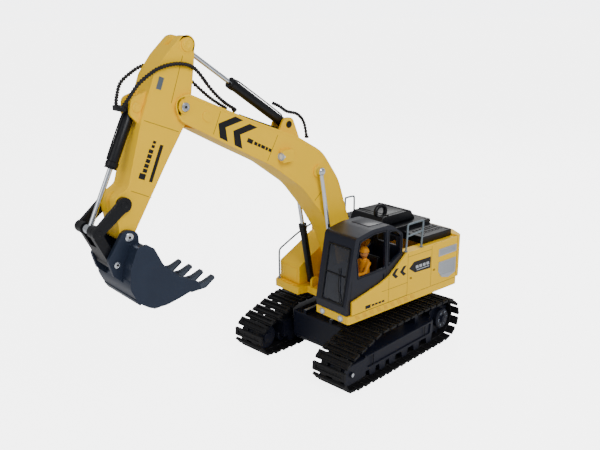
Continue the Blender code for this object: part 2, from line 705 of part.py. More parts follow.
def house_inside():
    """What works the slew drive, low in the engine bay."""
    floor = DECK_Z + DECK_THICK + GAP
    finish(box("board", (-94, -44), (-30, 30), (floor + 4, floor + 5.6)), "circuit_board", BOARD, HOUSE)
    motor = bar("motor", (-28, 0, floor), (-28, 0, floor + 22), 9.0)
    shaft = bar("shaft", (-28, 0, floor + 21), (-28, 0, floor + 26), 1.5, 12)
    finish(unite(motor, shaft), "slew_motor", STEEL, HOUSE)
    speaker = bar("speaker", (-60, 45, floor), (-60, 45, floor + 9), 14.0)
    finish(speaker, "loudspeaker", BLACK, HOUSE)


# --- Boom, arm and bucket ------------------------------------------------------------------------

def boom_outline():
    x, z = BOOM_PIVOT
    nose_x, nose_z = ARM_PIVOT
    return [(x - 9, z - 10, 9), (x + 9, z - 9, 9), (42, 150, 60), (60, 178, 60), (88, 212, 60),
            (128, 241, 80), (172, 264, 60), (nose_x + 5, nose_z - 12, 9), (nose_x + 9, nose_z + 9, 9),
            (nose_x - 6, nose_z + 11, 9), (188, 305, 20), (154, 290, 60), (96, 267.5, 60),
            (60, 247, 45), (36, 213, 60), (20, 165, 60), (x - 9, 130, 60)]


def boom():
    """The curved boom: a fork at its nose, bosses for the boom cylinders and lugs for the arm's."""
    half = BOOM_WIDTH / 2
    beam = slab("beam", boom_outline(), (-half, half))
    eye = BOOM_CYLINDER[1]
    foot = ARM_CYLINDER[0]
    tools = []
    for sign in (1, -1):
        boss_y = sorted((sign * (half - 1), sign * (half + 2.4)))
        tools.append(disc("boss", eye, 6.5, boss_y))
        nose_y = sorted((sign * (half - 1), sign * (half + 1.6)))
        tools.append(disc("nose_boss", ARM_PIVOT, 6.2, nose_y))
        lug_y = sorted((sign * LUG_INNER, sign * (LUG_INNER + 2.8)))
        lug = [(foot[0] - 16, 258, 0), (foot[0] + 14, 270, 0), (foot[0] + 6, foot[1] + 7, 6),
               (foot[0] - 5, foot[1] + 7, 6)]
        tools.append(slab("lug", lug, lug_y))
    slot_half = ARM_WIDTH / 2 + GAP
    slot = disc("slot", ARM_PIVOT, FORK_REACH, (-slot_half, slot_half), 36)
    bore = disc("bore", ARM_PIVOT, PIN_RADIUS + GAP, (-half - 3, half + 3), 20)
    foot_bore = disc("foot_bore", BOOM_PIVOT, PIN_RADIUS + GAP, (-half - 3, half + 3), 20)
    finish(cut(unite(beam, *tools), slot, bore, foot_bore), "boom", YELLOW, BOOM)
    lamp_y = (half + GAP, half + 7)
    lamp = slab("lamp", [(104, 243, 2), (119, 243, 2), (119, 256, 2), (104, 256, 2)], lamp_y)
    glass_hole = bar("glass_hole", (116.5, half + 3.8, 249.5), (121, half + 3.8, 249.5), 3.1)
    finish(cut(lamp, glass_hole), "work_light", YELLOW, BOOM)
    lens = bar("lens", (116.5 + GAP, half + 3.8, 249.5), (120.2, half + 3.8, 249.5), 3.1 - GAP)
    finish(lens, "work_light_lens", LAMP, BOOM)
    radius = 1.3
    back = rounded(boom_outline())[-25:-5]
    route = []
    for before, here, after in zip(back, back[1:], back[2:]):
        along = (after - before).normalized()
        outward = Vector((along.y, -along.x)) * (radius + 2 * GAP)
        route.append((here.x + outward.x, 0, here.y + outward.y))
    finish(tube("line", route, radius), "boom_hose_line", RUBBER, BOOM)


def pin(name, xz, half, radius, made_of, body):
    """A pin along Y with a domed washer head at each end."""
    head = 1.6
    shaft = disc("shaft", xz, radius, (-half - 0.5, half + 0.5), 20)
    heads = []
    for sign in (1, -1):
        head_y = sorted((sign * (half + GAP), sign * (half + GAP + head)))
        heads.append(disc("head", xz, radius + 1.6, head_y, 20))
    finish(unite(shaft, *heads), name, made_of, body)


def cylinder(name, ends, barrel_share, y, radius, bodies, eye_width, side=""):
    """A barrel on its foot pin and the rod that slides in it: the eye end is left open."""
    foot, eye = (Vector((xz[0], y, xz[1])) for xz in ends)
    along = (eye - foot).normalized()
    reach = (eye - foot).length * barrel_share
    top = foot + along * reach
    suffix = f"_{side}" if side else ""
    body = bar("barrel", foot + along * 2, top, radius)
    knuckle = disc("knuckle", ends[0], radius - 0.4, (y - eye_width / 2, y + eye_width / 2), 20)
    collar = bar("collar", top - along * 4, top + along * 0.8, radius + 0.8)
    bore = bar("bore", foot + along * 9, top + along * 2, ROD_RADIUS + BORE_CLEARANCE, 20)
    finish(cut(unite(body, knuckle, collar), bore), f"{name}_barrel{suffix}", BLACK, bodies[0])
    rod_foot = foot + along * (reach - 14)
    rod = bar("rod", rod_foot, eye, ROD_RADIUS, 20)
    ring_eye = disc("ring_eye", ends[1], ROD_RADIUS + 2.0, (y - eye_width / 2, y + eye_width / 2), 20)
    hole = disc("hole", ends[1], PIN_RADIUS - 0.6, (y - eye_width, y + eye_width), 16)
    finish(cut(unite(rod, ring_eye), hole), f"{name}_rod{suffix}", STEEL, bodies[1])


def arm():
    """The arm: a tapered box with a lug on top, a lug in front and bosses for the links."""
    half = ARM_WIDTH / 2
    top_x, top_z = ARM_CYLINDER[1]
    x, z = ARM_PIVOT
    low_x, low_z = BUCKET_PIVOT
    link_x, link_z = LINK_PIVOT
    outline = [(top_x - 8, top_z + 5, 7), (top_x + 4, top_z + 8.5, 6), (top_x + 22, top_z - 8, 14),
               (252.4, 337.2, 10), (267.4, 299.1, 30), (284.3, 243, 8), (link_x + 6.5, link_z + 6, 6),
               (link_x + 7, link_z - 8, 8), (low_x + 7, low_z + 12, 4), (low_x + 6, low_z - 6.2, 6),
               (low_x - 3.6, low_z - 5.7, 5.6), (245.5, 259.4, 40),
               (x - 4, z - 13, 12), (x - 9, z + 3, 14),
               (top_x - 6, top_z - 16, 10)]
    beam = slab("beam", outline, (-half, half))
    foot = BUCKET_CYLINDER[0]
    tools = []
    for sign in (1, -1):
        lug_y = sorted((sign * LUG_INNER, sign * (LUG_INNER + 3.4)))
        lug = [(foot[0] - 14, foot[1] + 14, 0), (foot[0] + 5, foot[1] + 8, 6), (foot[0] + 7, foot[1] - 6, 6),
               (foot[0] - 4, foot[1] - 18, 0)]
        tools.append(slab("lug", lug, lug_y))
    tools.append(disc("top_boss", ARM_CYLINDER[1], 6.2, (-half - 1.2, half + 1.2)))
    slot = disc("slot", ARM_CYLINDER[1], 13.5, (-4.3, 4.3), 32)
    room_y = (-BARREL_RADIUS - 0.4, BARREL_RADIUS + 0.4)
    foot_room = disc("foot_room", foot, BARREL_RADIUS + 2.0, room_y, 20)
    lower = (foot[0] + 5.5, foot[1] - 12.0)
    barrel_room = disc("barrel_room", lower, BARREL_RADIUS + 3.0, room_y, 20)
    start, tucked = Vector((foot[0], 0, foot[1])), Vector((BUCKET_TUCKED[0], 0, BUCKET_TUCKED[1]))
    rod_room = bar("rod_room", start, tucked, ROD_RADIUS + 3 * GAP, 20)
    tucked_room = bar("tucked_room", start, start.lerp(tucked, 0.5), BARREL_RADIUS + 4 * GAP, 24)
    bore = disc("bore", ARM_PIVOT, PIN_RADIUS + GAP, (-half - 3, half + 3), 20)
    low_bore = disc("low_bore", BUCKET_PIVOT, PIN_RADIUS + GAP, (-half - 3, half + 3), 20)
    link_bore = disc("link_bore", LINK_PIVOT, PIN_RADIUS + GAP, (-half - 3, half + 3), 20)
    rooms = [slot, foot_room, barrel_room, rod_room, tucked_room]
    finish(cut(unite(beam, *tools), *rooms, bore, low_bore, link_bore), "arm", YELLOW, ARM)


def capsule(name, first, second, radius_first, radius_second, y):
    """A link plate between two pins, wide at both ends."""
    start, end = Vector(first), Vector(second)
    across = (end - start).normalized().orthogonal()
    body = [start + across * radius_first * 0.8, end + across * radius_second * 0.8,
            end - across * radius_second * 0.8, start - across * radius_first * 0.8]
    plate = sheet(name, [body], y[0], y[1])
    return unite(plate, disc("end", first, radius_first, y), disc("end", second, radius_second, y))


def linkage():
    half = ARM_WIDTH / 2
    for side, sign in SIDES:
        link_y = sorted((sign * (half + GAP), sign * (half + GAP + LINK_THICK)))
        link = capsule("link", LINK_PIVOT, LINK_END, 6.8, 5.6, link_y)
        stub_y = sorted((sign * (half - 5), sign * (half + 1)))
        stub = disc("stub", LINK_PIVOT, PIN_RADIUS, stub_y, 20)
        finish(unite(link, stub), f"tipping_link_{side}", BLACK, LINKS)
    outer = half - GAP
    plate = capsule("h_link", LINK_END, BUCKET_LINK_PIN, 5.6, 5.2, (-outer, outer))
    room = disc("room", LINK_END, 16, (-6.2, 6.2), 32)
    finish(cut(plate, room), "h_link", BLACK, H_LINK)


def bucket_profile(inset):
    """The bucket's side view; inset draws the room inside it, open through the mouth."""
    mouth = [(280, 195), (273, 190), (265, 173), (250, 158), (229, 147.5)]
    back = [(236, 141, 2), (250, 137, 10), (264, 134, 20), (279, 134, 16), (292, 143, 16),
            (299, 158, 14), (297, 176, 14), (289, 194, 4)]
    if inset == 0:
        return [(x, z, 1) for x, z in mouth] + back
    inner = [(238, 143.6, 1), (251, 139.6, 8), (264, 136.6, 18), (278, 136.6, 14), (290, 145, 14),
             (296.4, 158, 12), (294.6, 175, 12), (286, 193, 2)]
    return [(270, 200, 0), (220, 160, 0), (224, 148, 0)] + inner


def bucket():
    """The bucket with its ears and four teeth, one casting."""
    half = BUCKET_WIDTH / 2
    shell = slab("shell", bucket_profile(0), (-half, half))
    room = slab("room", bucket_profile(1), (-half + BUCKET_WALL, half - BUCKET_WALL))
    shell = bake(cut(shell, room))
    tools = []
    arm_half = ARM_WIDTH / 2
    for sign in (1, -1):
        ear_y = sorted((sign * (arm_half + GAP), sign * (arm_half + GAP + EAR_THICK)))
        x, z = BUCKET_PIVOT
        pin_x, pin_z = BUCKET_LINK_PIN
        ear = [(x + 4, z + 8, 7), (x - 9, z + 3, 6), (280, 190, 3), (292, 170, 2), (296, 158, 1),
               (pin_x + 4, pin_z - 10, 4), (pin_x + 8, pin_z + 5, 6)]
        tools.append(slab("ear", ear, ear_y))
    count = 4
    for index in range(count):
        y = (index - (count - 1) / 2) * (BUCKET_WIDTH - 5) / (count - 1)
        tooth = [(236, 146, 0), (223, 146, 1), (212.5, 150, 0.8), (211.5, 146.5, 0.8), (222, 139.5, 3),
                 (242, 139, 2)]
        tools.append(slab("tooth", tooth, (y - 2.4, y + 2.4)))
    for sign in (1, -1):
        boss_y = sorted((sign * (arm_half + GAP + EAR_THICK - 1), sign * (arm_half + GAP + EAR_THICK + 1.2)))
        tools.append(disc("boss", BUCKET_LINK_PIN, PIN_RADIUS + 0.6, boss_y, 18))
    bore = disc("bore", BUCKET_PIVOT, PIN_RADIUS + GAP, (-arm_half - 9, arm_half + 9), 20)
    finish(cut(unite(shell, *tools), bore), "bucket", BUCKET_METAL, BUCKET)
    pin("bucket_pin", BUCKET_PIVOT, arm_half + GAP + EAR_THICK, PIN_RADIUS, STEEL, BUCKET)


def hoses():
    """Ribbed hoses: two over the arm to the bucket cylinder, one looped at the arm cylinder's foot."""
    near = [(280, 6, 311), (276, 11, 319), (269, 15.5, 330), (257, 16.2, 338.5), (247, 16.2, 343),
            (232, 16.2, 345.5), (218, 16.2, 343.5), (208, 14.5, 337), (194, 11, 322), (182, 9, 311),
            (172, 8, 304), (166, 8, 300.5)]
    for side, sign in SIDES:
        route = [(x, sign * y, z) for x, y, z in near]
        finish(tube("hose", smooth_route(route, 3), HOSE_RADIUS, 1), f"arm_hose_{side}", RUBBER, ARM)
    loop = [(112, 0, 298), (104, 0, 294.6), (94, 0, 290.6), (80, 0, 286.5), (71, 0, 277), (67, 0, 261)]
    finish(tube("hose", smooth_route(loop, 3), HOSE_RADIUS, 1), "lift_hose", RUBBER, BOOM)


def main():
    for side, sign in SIDES:
        track(side, sign)
        track_frame(side, sign)
        idler_group(side, sign)
        sprocket(side, sign)
    carbody()
    belly_pieces()
    ring_low = DECK_Z - RING_HEIGHT
    ring_middle = DECK_Z - RING_HEIGHT / 2
    ring("slew_ring_lower", ring_low, ring_middle - GAP / 2, RING_OUTER, RING_INNER, STEEL, UNDERCARRIAGE)
    ring("slew_ring_upper", ring_middle + GAP / 2, DECK_Z - GAP, RING_OUTER - 2, RING_INNER, STEEL, HOUSE)
    deck()
    for side, sign in SIDES:
        side_panel(side, sign)
    counterweight()
    engine_hood()
    tool_box()
    cab()
    headlights()
    handrails()
    house_inside()
    boom()
    pin("boom_foot_pin", BOOM_PIVOT, BOOM_WIDTH / 2 + 4.2, PIN_RADIUS, STEEL, HOUSE)
    pin("arm_pin", ARM_PIVOT, BOOM_WIDTH / 2 + 1.6, PIN_RADIUS, STEEL, BOOM)
    for side, sign in SIDES:
        bodies = BOOM_CYLINDERS[side]
        cylinder("boom_cylinder", BOOM_CYLINDER, 0.5, sign * BOOM_CYLINDER_Y, BOOM_BARREL_RADIUS, bodies,
                 5.4, side)
    cylinder("arm_cylinder", ARM_CYLINDER, 0.55, 0.0, BARREL_RADIUS, ARM_CYLINDER_BODIES, 8.0)
    arm()
    cylinder("bucket_cylinder", BUCKET_CYLINDER, 0.5, 0.0, BARREL_RADIUS, BUCKET_CYLINDER_BODIES, 8.0)
    linkage()
    bucket()
    hoses()


clear_scene()
MACHINE = new_collection("toy_excavator")
CUTTERS = new_collection("cutters")
CUTTERS.hide_render = True

YELLOW = material("yellow plastic", (0.95, 0.62, 0.02), 0.35)
BLACK = material("black plastic", (0.012, 0.013, 0.02), 0.35)
NAVY = material("dark blue-black plastic", (0.016, 0.02, 0.04), 0.4)
NAVY_CAB = material("cab plastic", (0.016, 0.02, 0.035), 0.35)
RUBBER = material("black rubber", (0.01, 0.01, 0.012), 0.6)
STEEL = material("bright metal", (0.6, 0.65, 0.7), 0.25, 1.0)
RAIL = material("grey rail", (0.2, 0.24, 0.27), 0.45)
BUCKET_METAL = material("blue-grey painted metal", (0.06, 0.09, 0.14), 0.4, 0.5)
GLASS = material("dark window", (0.02, 0.03, 0.05), 0.1)
LAMP = material("lamp lens", (0.8, 0.85, 0.9), 0.1)
VEST = material("orange figure", (0.85, 0.38, 0.03), 0.5)
BOARD = material("circuit board green", (0.03, 0.2, 0.07), 0.5)
CELL = material("battery wrap", (0.08, 0.08, 0.09), 0.4)

HOUSE = empty("house_on_slew_axis", (0, 0, 0))
HOUSE.location.x = -REST_CENTRE_X * MM
UNDERCARRIAGE = empty("undercarriage", (0, 0, 0))
UNDERCARRIAGE.location.x = -REST_CENTRE_X * MM
UNDERCARRIAGE.rotation_euler.z = math.radians(UNDERCARRIAGE_YAW)
BOOM = pivot("boom_axis", BOOM_PIVOT, HOUSE)
ARM = pivot("arm_axis", ARM_PIVOT, BOOM)
BUCKET = pivot("bucket_axis", BUCKET_PIVOT, ARM)
LINKS = pivot("link_axis", LINK_PIVOT, ARM)
H_LINK = pivot("h_link_axis", LINK_END, LINKS)
BOOM_CYLINDERS = {}
for side_name, side_sign in SIDES:
    foot_empty = pivot(f"boom_cylinder_axis_{side_name}", BOOM_CYLINDER[0], HOUSE,
                       side_sign * BOOM_CYLINDER_Y)
    eye_empty = pivot(f"boom_rod_axis_{side_name}", BOOM_CYLINDER[1], foot_empty,
                      side_sign * BOOM_CYLINDER_Y)
    BOOM_CYLINDERS[side_name] = (foot_empty, eye_empty)
ARM_FOOT = pivot("arm_cylinder_axis", ARM_CYLINDER[0], BOOM)
ARM_CYLINDER_BODIES = (ARM_FOOT, pivot("arm_rod_axis", ARM_CYLINDER[1], ARM_FOOT))
BUCKET_FOOT = pivot("bucket_cylinder_axis", BUCKET_CYLINDER[0], ARM)
BUCKET_CYLINDER_BODIES = (BUCKET_FOOT, pivot("bucket_rod_axis", BUCKET_CYLINDER[1], BUCKET_FOOT))

main()
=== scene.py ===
# %% [markdown]
# A toy crawler excavator, finished round its packed design. The design fixes where every piece is and how
# it moves; this lesson gives each piece the edges, small details and materials that make it look real.

# %% Load the frame
import json
import math

import bmesh
import bpy
from mathutils import Matrix, Vector


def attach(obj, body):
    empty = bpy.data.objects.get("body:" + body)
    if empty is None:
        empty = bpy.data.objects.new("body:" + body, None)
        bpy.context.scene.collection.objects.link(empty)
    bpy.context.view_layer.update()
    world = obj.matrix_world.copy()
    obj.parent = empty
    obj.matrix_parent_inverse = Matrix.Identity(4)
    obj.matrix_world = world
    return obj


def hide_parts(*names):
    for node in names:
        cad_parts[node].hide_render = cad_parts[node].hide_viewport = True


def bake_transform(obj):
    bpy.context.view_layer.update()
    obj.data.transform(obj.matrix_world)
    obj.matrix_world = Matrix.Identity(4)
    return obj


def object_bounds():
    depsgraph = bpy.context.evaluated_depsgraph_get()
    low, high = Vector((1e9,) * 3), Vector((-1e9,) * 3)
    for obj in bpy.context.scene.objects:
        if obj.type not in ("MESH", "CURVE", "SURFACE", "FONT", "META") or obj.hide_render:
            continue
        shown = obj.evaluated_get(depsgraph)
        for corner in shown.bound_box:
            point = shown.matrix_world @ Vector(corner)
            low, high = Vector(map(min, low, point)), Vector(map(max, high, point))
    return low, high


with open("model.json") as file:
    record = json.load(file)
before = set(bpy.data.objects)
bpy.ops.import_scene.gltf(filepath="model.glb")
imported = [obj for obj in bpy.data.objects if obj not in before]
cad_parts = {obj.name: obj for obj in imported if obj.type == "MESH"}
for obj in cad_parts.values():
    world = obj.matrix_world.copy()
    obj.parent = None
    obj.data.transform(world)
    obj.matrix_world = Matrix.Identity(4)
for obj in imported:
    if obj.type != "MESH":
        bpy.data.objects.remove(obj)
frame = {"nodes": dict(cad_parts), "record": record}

MM = 0.001
cad_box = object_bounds()
print("nodes in the frame:", len(frame["nodes"]))

# %% [markdown]
# All positions come from the frame. The slew joint gives the axis that the house turns on, and lengths on
# the house, boom and arm are given in millimetres from that axis: x forward, y to the left, z up. The
# tracks are turned a little from the house, so pieces on them are drawn straight and then turned.

# %% Places in the frame
JOINTS = {joint["name"]: joint for joint in frame["record"]["behaviour"]["joints"]}
SLEW = Vector((JOINTS["house_slew"]["pos_m"][0], JOINTS["house_slew"]["pos_m"][1], 0))
SPIN_AXIS = Vector(JOINTS["sprocket_left_spin"]["axis"])
TRACK_TURN = math.atan2(-SPIN_AXIS.x, SPIN_AXIS.y)
TO_TRACKS = Matrix.Translation(SLEW) @ Matrix.Rotation(TRACK_TURN, 4, "Z") @ Matrix.Translation(-SLEW)


def place(x, y, z):
    """A point in millimetres from the slew axis at ground level, as a point in the frame."""
    return SLEW + Vector((x, y, z)) * MM


def pivot_of(joint):
    return Vector(JOINTS[joint]["pos_m"])


def from_axis(point):
    """A point of the frame, back in millimetres from the slew axis."""
    return (Vector(point) - SLEW) / MM


print("the tracks are turned", round(math.degrees(TRACK_TURN), 2), "degrees")

# %% [markdown]
# A moulded toy looks plain until its plastic has a fine texture. One shader group makes that texture for
# every material: a slow noise that shifts the colour a little, a fine one for the grain of the mould, and
# thin dust in the low places near the ground. Each material sets its own amounts.

# %% The surface group
def new_link(tree, start, end):
    tree.links.new(start, end)


def make_surface_group():
    group = bpy.data.node_groups.new("moulded surface", "ShaderNodeTree")
    for name, kind, value in (("Colour", "NodeSocketColor", (0.5, 0.5, 0.5, 1)),
                              ("Shade", "NodeSocketFloat", 0.9), ("Roughness", "NodeSocketFloat", 0.4),
                              ("Uneven", "NodeSocketFloat", 0.08), ("Grain Size", "NodeSocketFloat", 900.0),
                              ("Grain Depth", "NodeSocketFloat", 0.03), ("Dust", "NodeSocketFloat", 0.0)):
        socket = group.interface.new_socket(name, in_out="INPUT", socket_type=kind)
        socket.default_value = value
    for name, kind in (("Colour", "NodeSocketColor"), ("Roughness", "NodeSocketFloat"),
                       ("Normal", "NodeSocketVector")):
        group.interface.new_socket(name, in_out="OUTPUT", socket_type=kind)
    nodes = group.nodes
    given, result = nodes.new("NodeGroupInput"), nodes.new("NodeGroupOutput")
    where = nodes.new("ShaderNodeTexCoord")
    slow, fine = nodes.new("ShaderNodeTexNoise"), nodes.new("ShaderNodeTexNoise")
    slow.inputs["Scale"].default_value = 28
    slow.inputs["Detail"].default_value = 3
    fine.inputs["Detail"].default_value = 2
    for noise in (slow, fine):
        new_link(group, where.outputs["Object"], noise.inputs["Vector"])
    new_link(group, given.outputs["Grain Size"], fine.inputs["Scale"])
    darker = nodes.new("ShaderNodeVectorMath")
    darker.operation = "SCALE"
    new_link(group, given.outputs["Colour"], darker.inputs[0])
    new_link(group, given.outputs["Shade"], darker.inputs["Scale"])
    tint = nodes.new("ShaderNodeMix")
    tint.data_type = "RGBA"
    new_link(group, slow.outputs["Fac"], tint.inputs["Factor"])
    new_link(group, given.outputs["Colour"], tint.inputs["A"])
    new_link(group, darker.outputs[0], tint.inputs["B"])
    height = nodes.new("ShaderNodeSeparateXYZ")
    new_link(group, where.outputs["Object"], height.inputs[0])
    low = nodes.new("ShaderNodeMapRange")
    low.inputs["From Min"].default_value = 0.06
    low.inputs["From Max"].default_value = 0.0
    new_link(group, height.outputs["Z"], low.inputs["Value"])
    dust = nodes.new("ShaderNodeMath")
    dust.operation = "MULTIPLY"
    new_link(group, low.outputs[0], dust.inputs[0])
    new_link(group, given.outputs["Dust"], dust.inputs[1])
    patchy = nodes.new("ShaderNodeMath")
    patchy.operation = "MULTIPLY"
    new_link(group, dust.outputs[0], patchy.inputs[0])
    new_link(group, slow.outputs["Fac"], patchy.inputs[1])
    dusty = nodes.new("ShaderNodeMix")
    dusty.data_type = "RGBA"
    dusty.inputs["B"].default_value = (0.16, 0.14, 0.12, 1)
    new_link(group, patchy.outputs[0], dusty.inputs["Factor"])
    new_link(group, tint.outputs["Result"], dusty.inputs["A"])
    new_link(group, dusty.outputs["Result"], result.inputs["Colour"])
    swing = nodes.new("ShaderNodeMath")
    swing.operation = "MULTIPLY_ADD"
    new_link(group, slow.outputs["Fac"], swing.inputs[0])
    new_link(group, given.outputs["Uneven"], swing.inputs[1])
    new_link(group, given.outputs["Roughness"], swing.inputs[2])
    new_link(group, swing.outputs[0], result.inputs["Roughness"])
    bump = nodes.new("ShaderNodeBump")
    bump.inputs["Distance"].default_value = 0.0002
    new_link(group, fine.outputs["Fac"], bump.inputs["Height"])
    new_link(group, given.outputs["Grain Depth"], bump.inputs["Strength"])
    new_link(group, bump.outputs["Normal"], result.inputs["Normal"])
    return group


SURFACE = make_surface_group()
print("surface group with", len(SURFACE.nodes), "nodes")

# %% [markdown]
# The finishes. Nearly all the yellow is one moulding colour. A darker yellow is painted into the seams as
# their shade, and a deeper one is used on the marks of the skirt. A pale metal serves the sprocket bolts
# and is also painted as a sheen along the carbody's top. Black and blue-black parts have a soft gloss, the
# tracks are rubber, rods and pins are plated, and the bucket is painted metal with bare tooth tips. A dark
# paint serves the driver's eyes and is also painted as shade inside the pin sockets.

# %% Materials
def finish_of(name, slot, colour, roughness, metallic=0.0, coat=0.0, **amounts):
    made = bpy.data.materials.new(name)
    made["slot"] = slot
    made.use_nodes = True
    tree = made.node_tree
    shader = tree.nodes["Principled BSDF"]
    surface = tree.nodes.new("ShaderNodeGroup")
    surface.node_tree = SURFACE
    surface.inputs["Colour"].default_value = (*colour, 1)
    surface.inputs["Roughness"].default_value = roughness
    for key, value in amounts.items():
        surface.inputs[key.replace("_", " ").title()].default_value = value
    new_link(tree, surface.outputs["Colour"], shader.inputs["Base Color"])
    new_link(tree, surface.outputs["Roughness"], shader.inputs["Roughness"])
    new_link(tree, surface.outputs["Normal"], shader.inputs["Normal"])
    shader.inputs["Metallic"].default_value = metallic
    shader.inputs["Coat Weight"].default_value = coat
    shader.inputs["Specular IOR Level"].default_value = 0.3
    made.diffuse_color = (*colour, 1)
    return made


YELLOW = finish_of("yellow plastic", "yellow_plastic", (1.0, 0.6, 0.0), 0.42, shade=0.94,
                   grain_depth=0.05)
# The seam colour is painted shade: a darker yellow laid in the grooves of the yellow moulding.
SEAM_SHADE = finish_of("painted shade in seams", "yellow_plastic", (0.34, 0.19, 0.0), 0.5)
SKIRT_MARK = finish_of("deeper yellow", "yellow_plastic", (0.9, 0.5, 0.0), 0.4)
BLACK = finish_of("black plastic", "black_plastic", (0.003, 0.0035, 0.006), 0.34, shade=0.7,
                  grain_depth=0.06)
NAVY = finish_of("blue-black plastic", "navy_plastic", (0.004, 0.006, 0.017), 0.4, shade=0.75, dust=0.04)
CAB = finish_of("cab plastic", "cab_plastic", (0.004, 0.006, 0.016), 0.3, coat=0.1, shade=0.8)
RUBBER = finish_of("track rubber", "track_rubber", (0.004, 0.004, 0.006), 0.5, shade=0.6, grain_depth=0.1,
                   dust=0.03)
HOSE = finish_of("hose rubber", "hose_rubber", (0.008, 0.008, 0.01), 0.42, grain_depth=0.1)
STEEL = finish_of("plated metal", "bright_metal", (0.72, 0.76, 0.82), 0.16, 1.0, grain_depth=0.02)
RAIL = finish_of("grey rail", "grey_rail", (0.16, 0.2, 0.23), 0.4)
# Pale metal for the sprocket bolts; the same finish is painted as a sheen along the carbody's top.
BOLT_METAL_AND_SHEEN = finish_of("pale bolt metal and painted sheen", "navy_plastic", (0.4, 0.45, 0.52), 0.3, 0.6)
DECAL = finish_of("black sticker", "black_plastic", (0.006, 0.006, 0.008), 0.4)
GREY_DECAL = finish_of("grey sticker", "grey_rail", (0.1, 0.13, 0.16), 0.35)
SILVER = finish_of("silver grille", "bright_metal", (0.5, 0.53, 0.57), 0.35, 0.5)
BUCKET = finish_of("bucket paint", "bucket_metal", (0.024, 0.034, 0.06), 0.34, 0.3, shade=0.7,
                   grain_depth=0.15, dust=0.1)
WORN = finish_of("bare worn metal", "bright_metal", (0.07, 0.085, 0.11), 0.36, 0.7, grain_depth=0.2)
LENS = finish_of("lamp lens", "lamp_lens", (0.8, 0.86, 0.92), 0.08, coat=0.6)
VEST = finish_of("orange clothes", "figure_orange", (0.9, 0.33, 0.0), 0.55, shade=0.75)
SKIN = finish_of("figure's head", "figure_orange", (0.56, 0.22, 0.06), 0.5)
# Dark paint for the driver's eyes; the same finish is painted as shade inside the pin sockets.
EYE_PAINT_AND_SOCKET_SHADE = finish_of("dark paint and painted socket shade", "black_plastic", (0.02, 0.015, 0.01), 0.4)
BOARD = finish_of("circuit board", "board_green", (0.02, 0.16, 0.05), 0.4)
WRAP = finish_of("battery wrap", "battery_wrap", (0.05, 0.05, 0.06), 0.35, shade=0.6)
RED_LENS = finish_of("red tail lens", "lamp_lens", (0.5, 0.01, 0.01), 0.12, coat=0.5)


def make_glass():
    glass = finish_of("dark clear window", "clear_window", (0.012, 0.016, 0.028), 0.08, shade=0.8)
    shader = glass.node_tree.nodes["Principled BSDF"]
    shader.inputs["Alpha"].default_value = 0.8
    shader.inputs["Coat Weight"].default_value = 0.8
    return glass


GLASS = make_glass()
print("materials made:", len(bpy.data.materials))

# %% [markdown]
# Helpers that make the pieces. `shell` takes a solid of the design, merges its loose triangles into whole
# faces and rounds its edges, because a real moulding has no knife edges. The others start from bmesh
# operators: a block, a plate cut to an outline, a turned part and a tube.

# %% Finish a piece
def put(bm, name, body, finish, nodes=(), rounding=0.0, segments=2, smooth=32):
    """Write a bmesh to a piece of its own, round its edges and hang it on its body."""
    mesh = bpy.data.meshes.new(name)
    bm.to_mesh(mesh)
    bm.free()
    piece = bpy.data.objects.new(name, mesh)
    bpy.context.scene.collection.objects.link(piece)
    mesh.materials.append(finish)
    mesh.shade_smooth()
    if rounding:
        bevel = piece.modifiers.new("rounded edges", "BEVEL")
        bevel.width = rounding * MM
        bevel.segments = segments
        bevel.limit_method = "ANGLE"
        bevel.angle_limit = math.radians(smooth)
        flat = piece.modifiers.new("flat faces stay flat", "WEIGHTED_NORMAL")
        flat.keep_sharp = True
    else:
        mesh.set_sharp_from_angle(angle=math.radians(smooth))
    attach(piece, body)
    if nodes:
        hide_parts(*nodes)
    print(name, "on", body, "has", len(mesh.polygons), "faces")
    return piece


def merged(node):
    """A copy of a solid of the design with its flat areas as whole faces."""
    bm = bmesh.new()
    bm.from_mesh(frame["nodes"][node].data)
    bmesh.ops.remove_doubles(bm, verts=bm.verts, dist=1e-6)
    bmesh.ops.dissolve_limit(bm, angle_limit=math.radians(0.5), verts=bm.verts, edges=bm.edges)
    return bm


BODY_OF = {node: body for body, nodes in frame["record"]["behaviour"]["bodies"].items() for node in nodes}


def shell(node, finish, rounding=0.6, segments=2):
    return put(merged(node), node + "_shell", BODY_OF[node], finish, [node], rounding, segments)


def add(bm, part):
    """Join a second bmesh into the first."""
    mesh = bpy.data.meshes.new("part")
    part.to_mesh(mesh)
    part.free()
    bm.from_mesh(mesh)
    bpy.data.meshes.remove(mesh)
    return bm


def joined(parts):
    whole = bmesh.new()
    for part in parts:
        add(whole, part)
    return whole


# %% Blocks, plates, turned parts and tubes
def block(x, y, z, edge=0.3, segments=2):
    """A box between two values of x, of y and of z, in millimetres, with rounded edges."""
    bm = bmesh.new()
    bmesh.ops.create_cube(bm, size=1)
    size = Vector((x[1] - x[0], y[1] - y[0], z[1] - z[0]))
    middle = ((x[0] + x[1]) / 2, (y[0] + y[1]) / 2, (z[0] + z[1]) / 2)
    bmesh.ops.transform(bm, verts=bm.verts, matrix=Matrix.Diagonal(size * MM).to_4x4())
    if edge:
        bmesh.ops.bevel(bm, geom=bm.edges[:], offset=edge * MM, segments=segments, profile=0.5,
                        affect="EDGES", material=-1)
    bmesh.ops.translate(bm, verts=bm.verts, vec=place(*middle))
    return bm


def plate(outline, y, edge=0.0):
    """A flat plate with an outline in x and z, between two values of y."""
    bm = bmesh.new()
    face = bm.faces.new([bm.verts.new(place(x, y[0], z)) for x, z in outline])
    made = bmesh.ops.extrude_face_region(bm, geom=[face])
    moved = [item for item in made["geom"] if isinstance(item, bmesh.types.BMVert)]
    bmesh.ops.translate(bm, verts=moved, vec=(0, (y[1] - y[0]) * MM, 0))
    bmesh.ops.recalc_face_normals(bm, faces=bm.faces)
    if edge:
        bmesh.ops.bevel(bm, geom=bm.edges[:], offset=edge * MM, segments=2, profile=0.5,
                        affect="EDGES", material=-1)
    return bm


